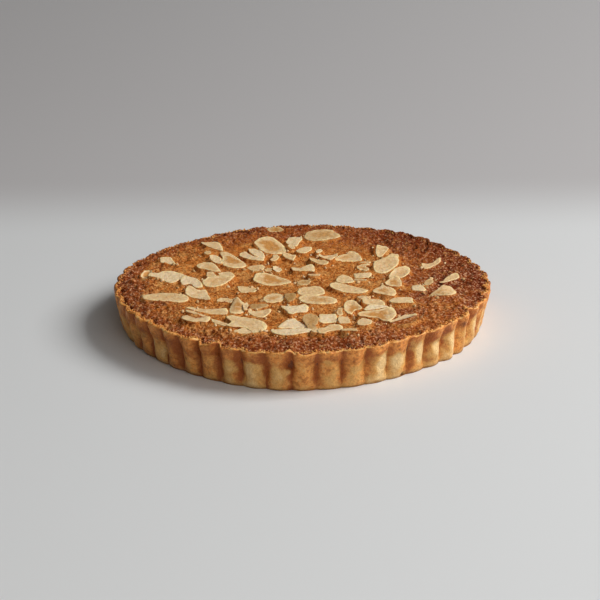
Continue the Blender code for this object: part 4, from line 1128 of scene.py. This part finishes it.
def build_crumbs(placed):
    """Pastry crumbs on the rim's inner edge, and almond crumbs beside the slices."""
    rng = np.random.default_rng(CRUMB_SEED)
    turn = rng.uniform(-math.pi, math.pi, RIM_CRUMBS)
    radius = rim_inside(turn) + rng.uniform(-0.9, RIM_WALL + 0.2, RIM_CRUMBS)
    kept = radius < RIM_RADIUS - 1.2
    turn = turn[kept]
    radius = radius[kept] * plan_scale(turn)
    z = rim_height(turn) + rim_teeth(turn) - 0.10 + rng.uniform(-0.25, 0.30, len(turn))
    sizes = rng.uniform(0.25, 0.75, len(turn)) * (1.0 + 0.9 * hump(turn, 1.05, 0.30))
    marks = {"toast": 0.15, "pale": 0.20, "burn_and_shade": 0.0}
    spots = ring_points(radius, turn, z)
    crust = bpy.data.materials["crust"]
    crumbs_piece("rim_crumbs", spots, sizes, crust, marks, CRUMB_SEED + 1)
    spots = []
    for item in placed:
        for corner in rng.integers(0, SLICE_RIM_POINTS, CRUMBS_PER_SLICE):
            away = item["ring"][corner % len(item["ring"])]
            away = away * (1.0 + rng.uniform(0.4, 3.2) / np.hypot(*away))
            spots.append((item["x"] + away[0], item["y"] + away[1]))
    x, y = np.array(spots).T + rng.normal(0.0, 0.8, (2, len(spots)))
    spots = np.stack([x, y, ground_height(x, y) + 0.1], -1)
    sizes = 0.4 + 1.3 * rng.uniform(0.0, 1.0, len(spots)) ** 2
    marks = {"reach": 0.6, "heart": 0.2, "tone": rng.uniform(-0.5, 1.0, len(spots))}
    almond = bpy.data.materials["almond"]
    crumbs_piece("almond_crumbs", spots, sizes, almond, marks, CRUMB_SEED + 2)


# Stage, light and camera

FLOOR_HALF = 4.0


def build_stage():
    """The pale floor."""
    mesh = bpy.data.meshes.new("floor")
    corners = [(x * FLOOR_HALF, y * FLOOR_HALF, 0.0) for x, y in ((-1, -1), (1, -1), (1, 1), (-1, 1))]
    mesh.from_pydata(corners, [], [(0, 1, 2, 3)])
    mesh.materials.append(floor_material())
    floor = bpy.data.objects.new("floor", mesh)
    bpy.context.scene.collection.objects.link(floor)


def area_light(name, direction, distance, size, power, colour):
    """Square soft light that looks at the tart from a direction, at a distance in metres."""
    lamp = bpy.data.lights.new(name, "AREA")
    lamp.shape = "SQUARE"
    lamp.size = size
    lamp.energy = power
    lamp.color = colour
    item = bpy.data.objects.new(name, lamp)
    bpy.context.scene.collection.objects.link(item)
    unit = np.array(direction) / np.linalg.norm(direction)
    item.location = unit * distance
    right = np.cross((0.0, 0.0, 1.0), unit)
    right /= np.linalg.norm(right)
    up = np.cross(unit, right)
    item.rotation_euler = Matrix(np.column_stack([right, up, unit]).tolist()).to_euler()


def build_light():
    """Large soft key from the right, weak fills from the front and an even surround."""
    area_light("key", (0.85, 0.04, 0.75), 2.4, 1.28, 61.0, (1.0, 0.99, 0.975))
    area_light("front", (0.45, -0.75, 0.75), 2.2, 1.8, 13.8, (1.0, 0.985, 0.955))
    area_light("fill", (-0.25, -0.75, 0.75), 2.2, 1.8, 4.0, (1.0, 0.94, 0.86))
    world = bpy.data.worlds.new("surround")
    world.use_nodes = True
    surround = world.node_tree.nodes["Background"].inputs
    surround["Color"].default_value = (1.0, 0.95, 0.89, 1.0)
    surround["Strength"].default_value = 0.036
    bpy.context.scene.world = world
    bpy.context.scene.view_settings.view_transform = "Standard"


def build_camera():
    """Camera at the photograph's place and angle."""
    cp, sp = math.cos(CAMERA_PITCH), math.sin(CAMERA_PITCH)
    cy, sy = math.cos(CAMERA_YAW), math.sin(CAMERA_YAW)
    cr, sr = math.cos(CAMERA_ROLL), math.sin(CAMERA_ROLL)
    ahead = np.array([sy * cp, cy * cp, -sp])
    level = np.array([cy, -sy, 0.0])
    upright = np.cross(level, ahead)
    right = level * cr + upright * sr
    up = -level * sr + upright * cr
    camera = bpy.data.cameras.new("camera")
    camera.sensor_width = SENSOR_MM
    camera.lens = FOCAL_PIXELS * SENSOR_MM / FRAME_PIXELS
    camera.clip_start = 0.01
    camera.clip_end = 50.0
    item = bpy.data.objects.new("camera", camera)
    bpy.context.scene.collection.objects.link(item)
    item.location = np.array(CAMERA_PLACE) * MM
    item.rotation_euler = Matrix(np.column_stack([right, up, -ahead]).tolist()).to_euler()
    bpy.context.scene.camera = item


build_camera()
build_stage()
build_light()
case_piece()
slices = place_slices()
almonds_piece(slices)
sponge_piece(slices)
build_crumbs(slices)
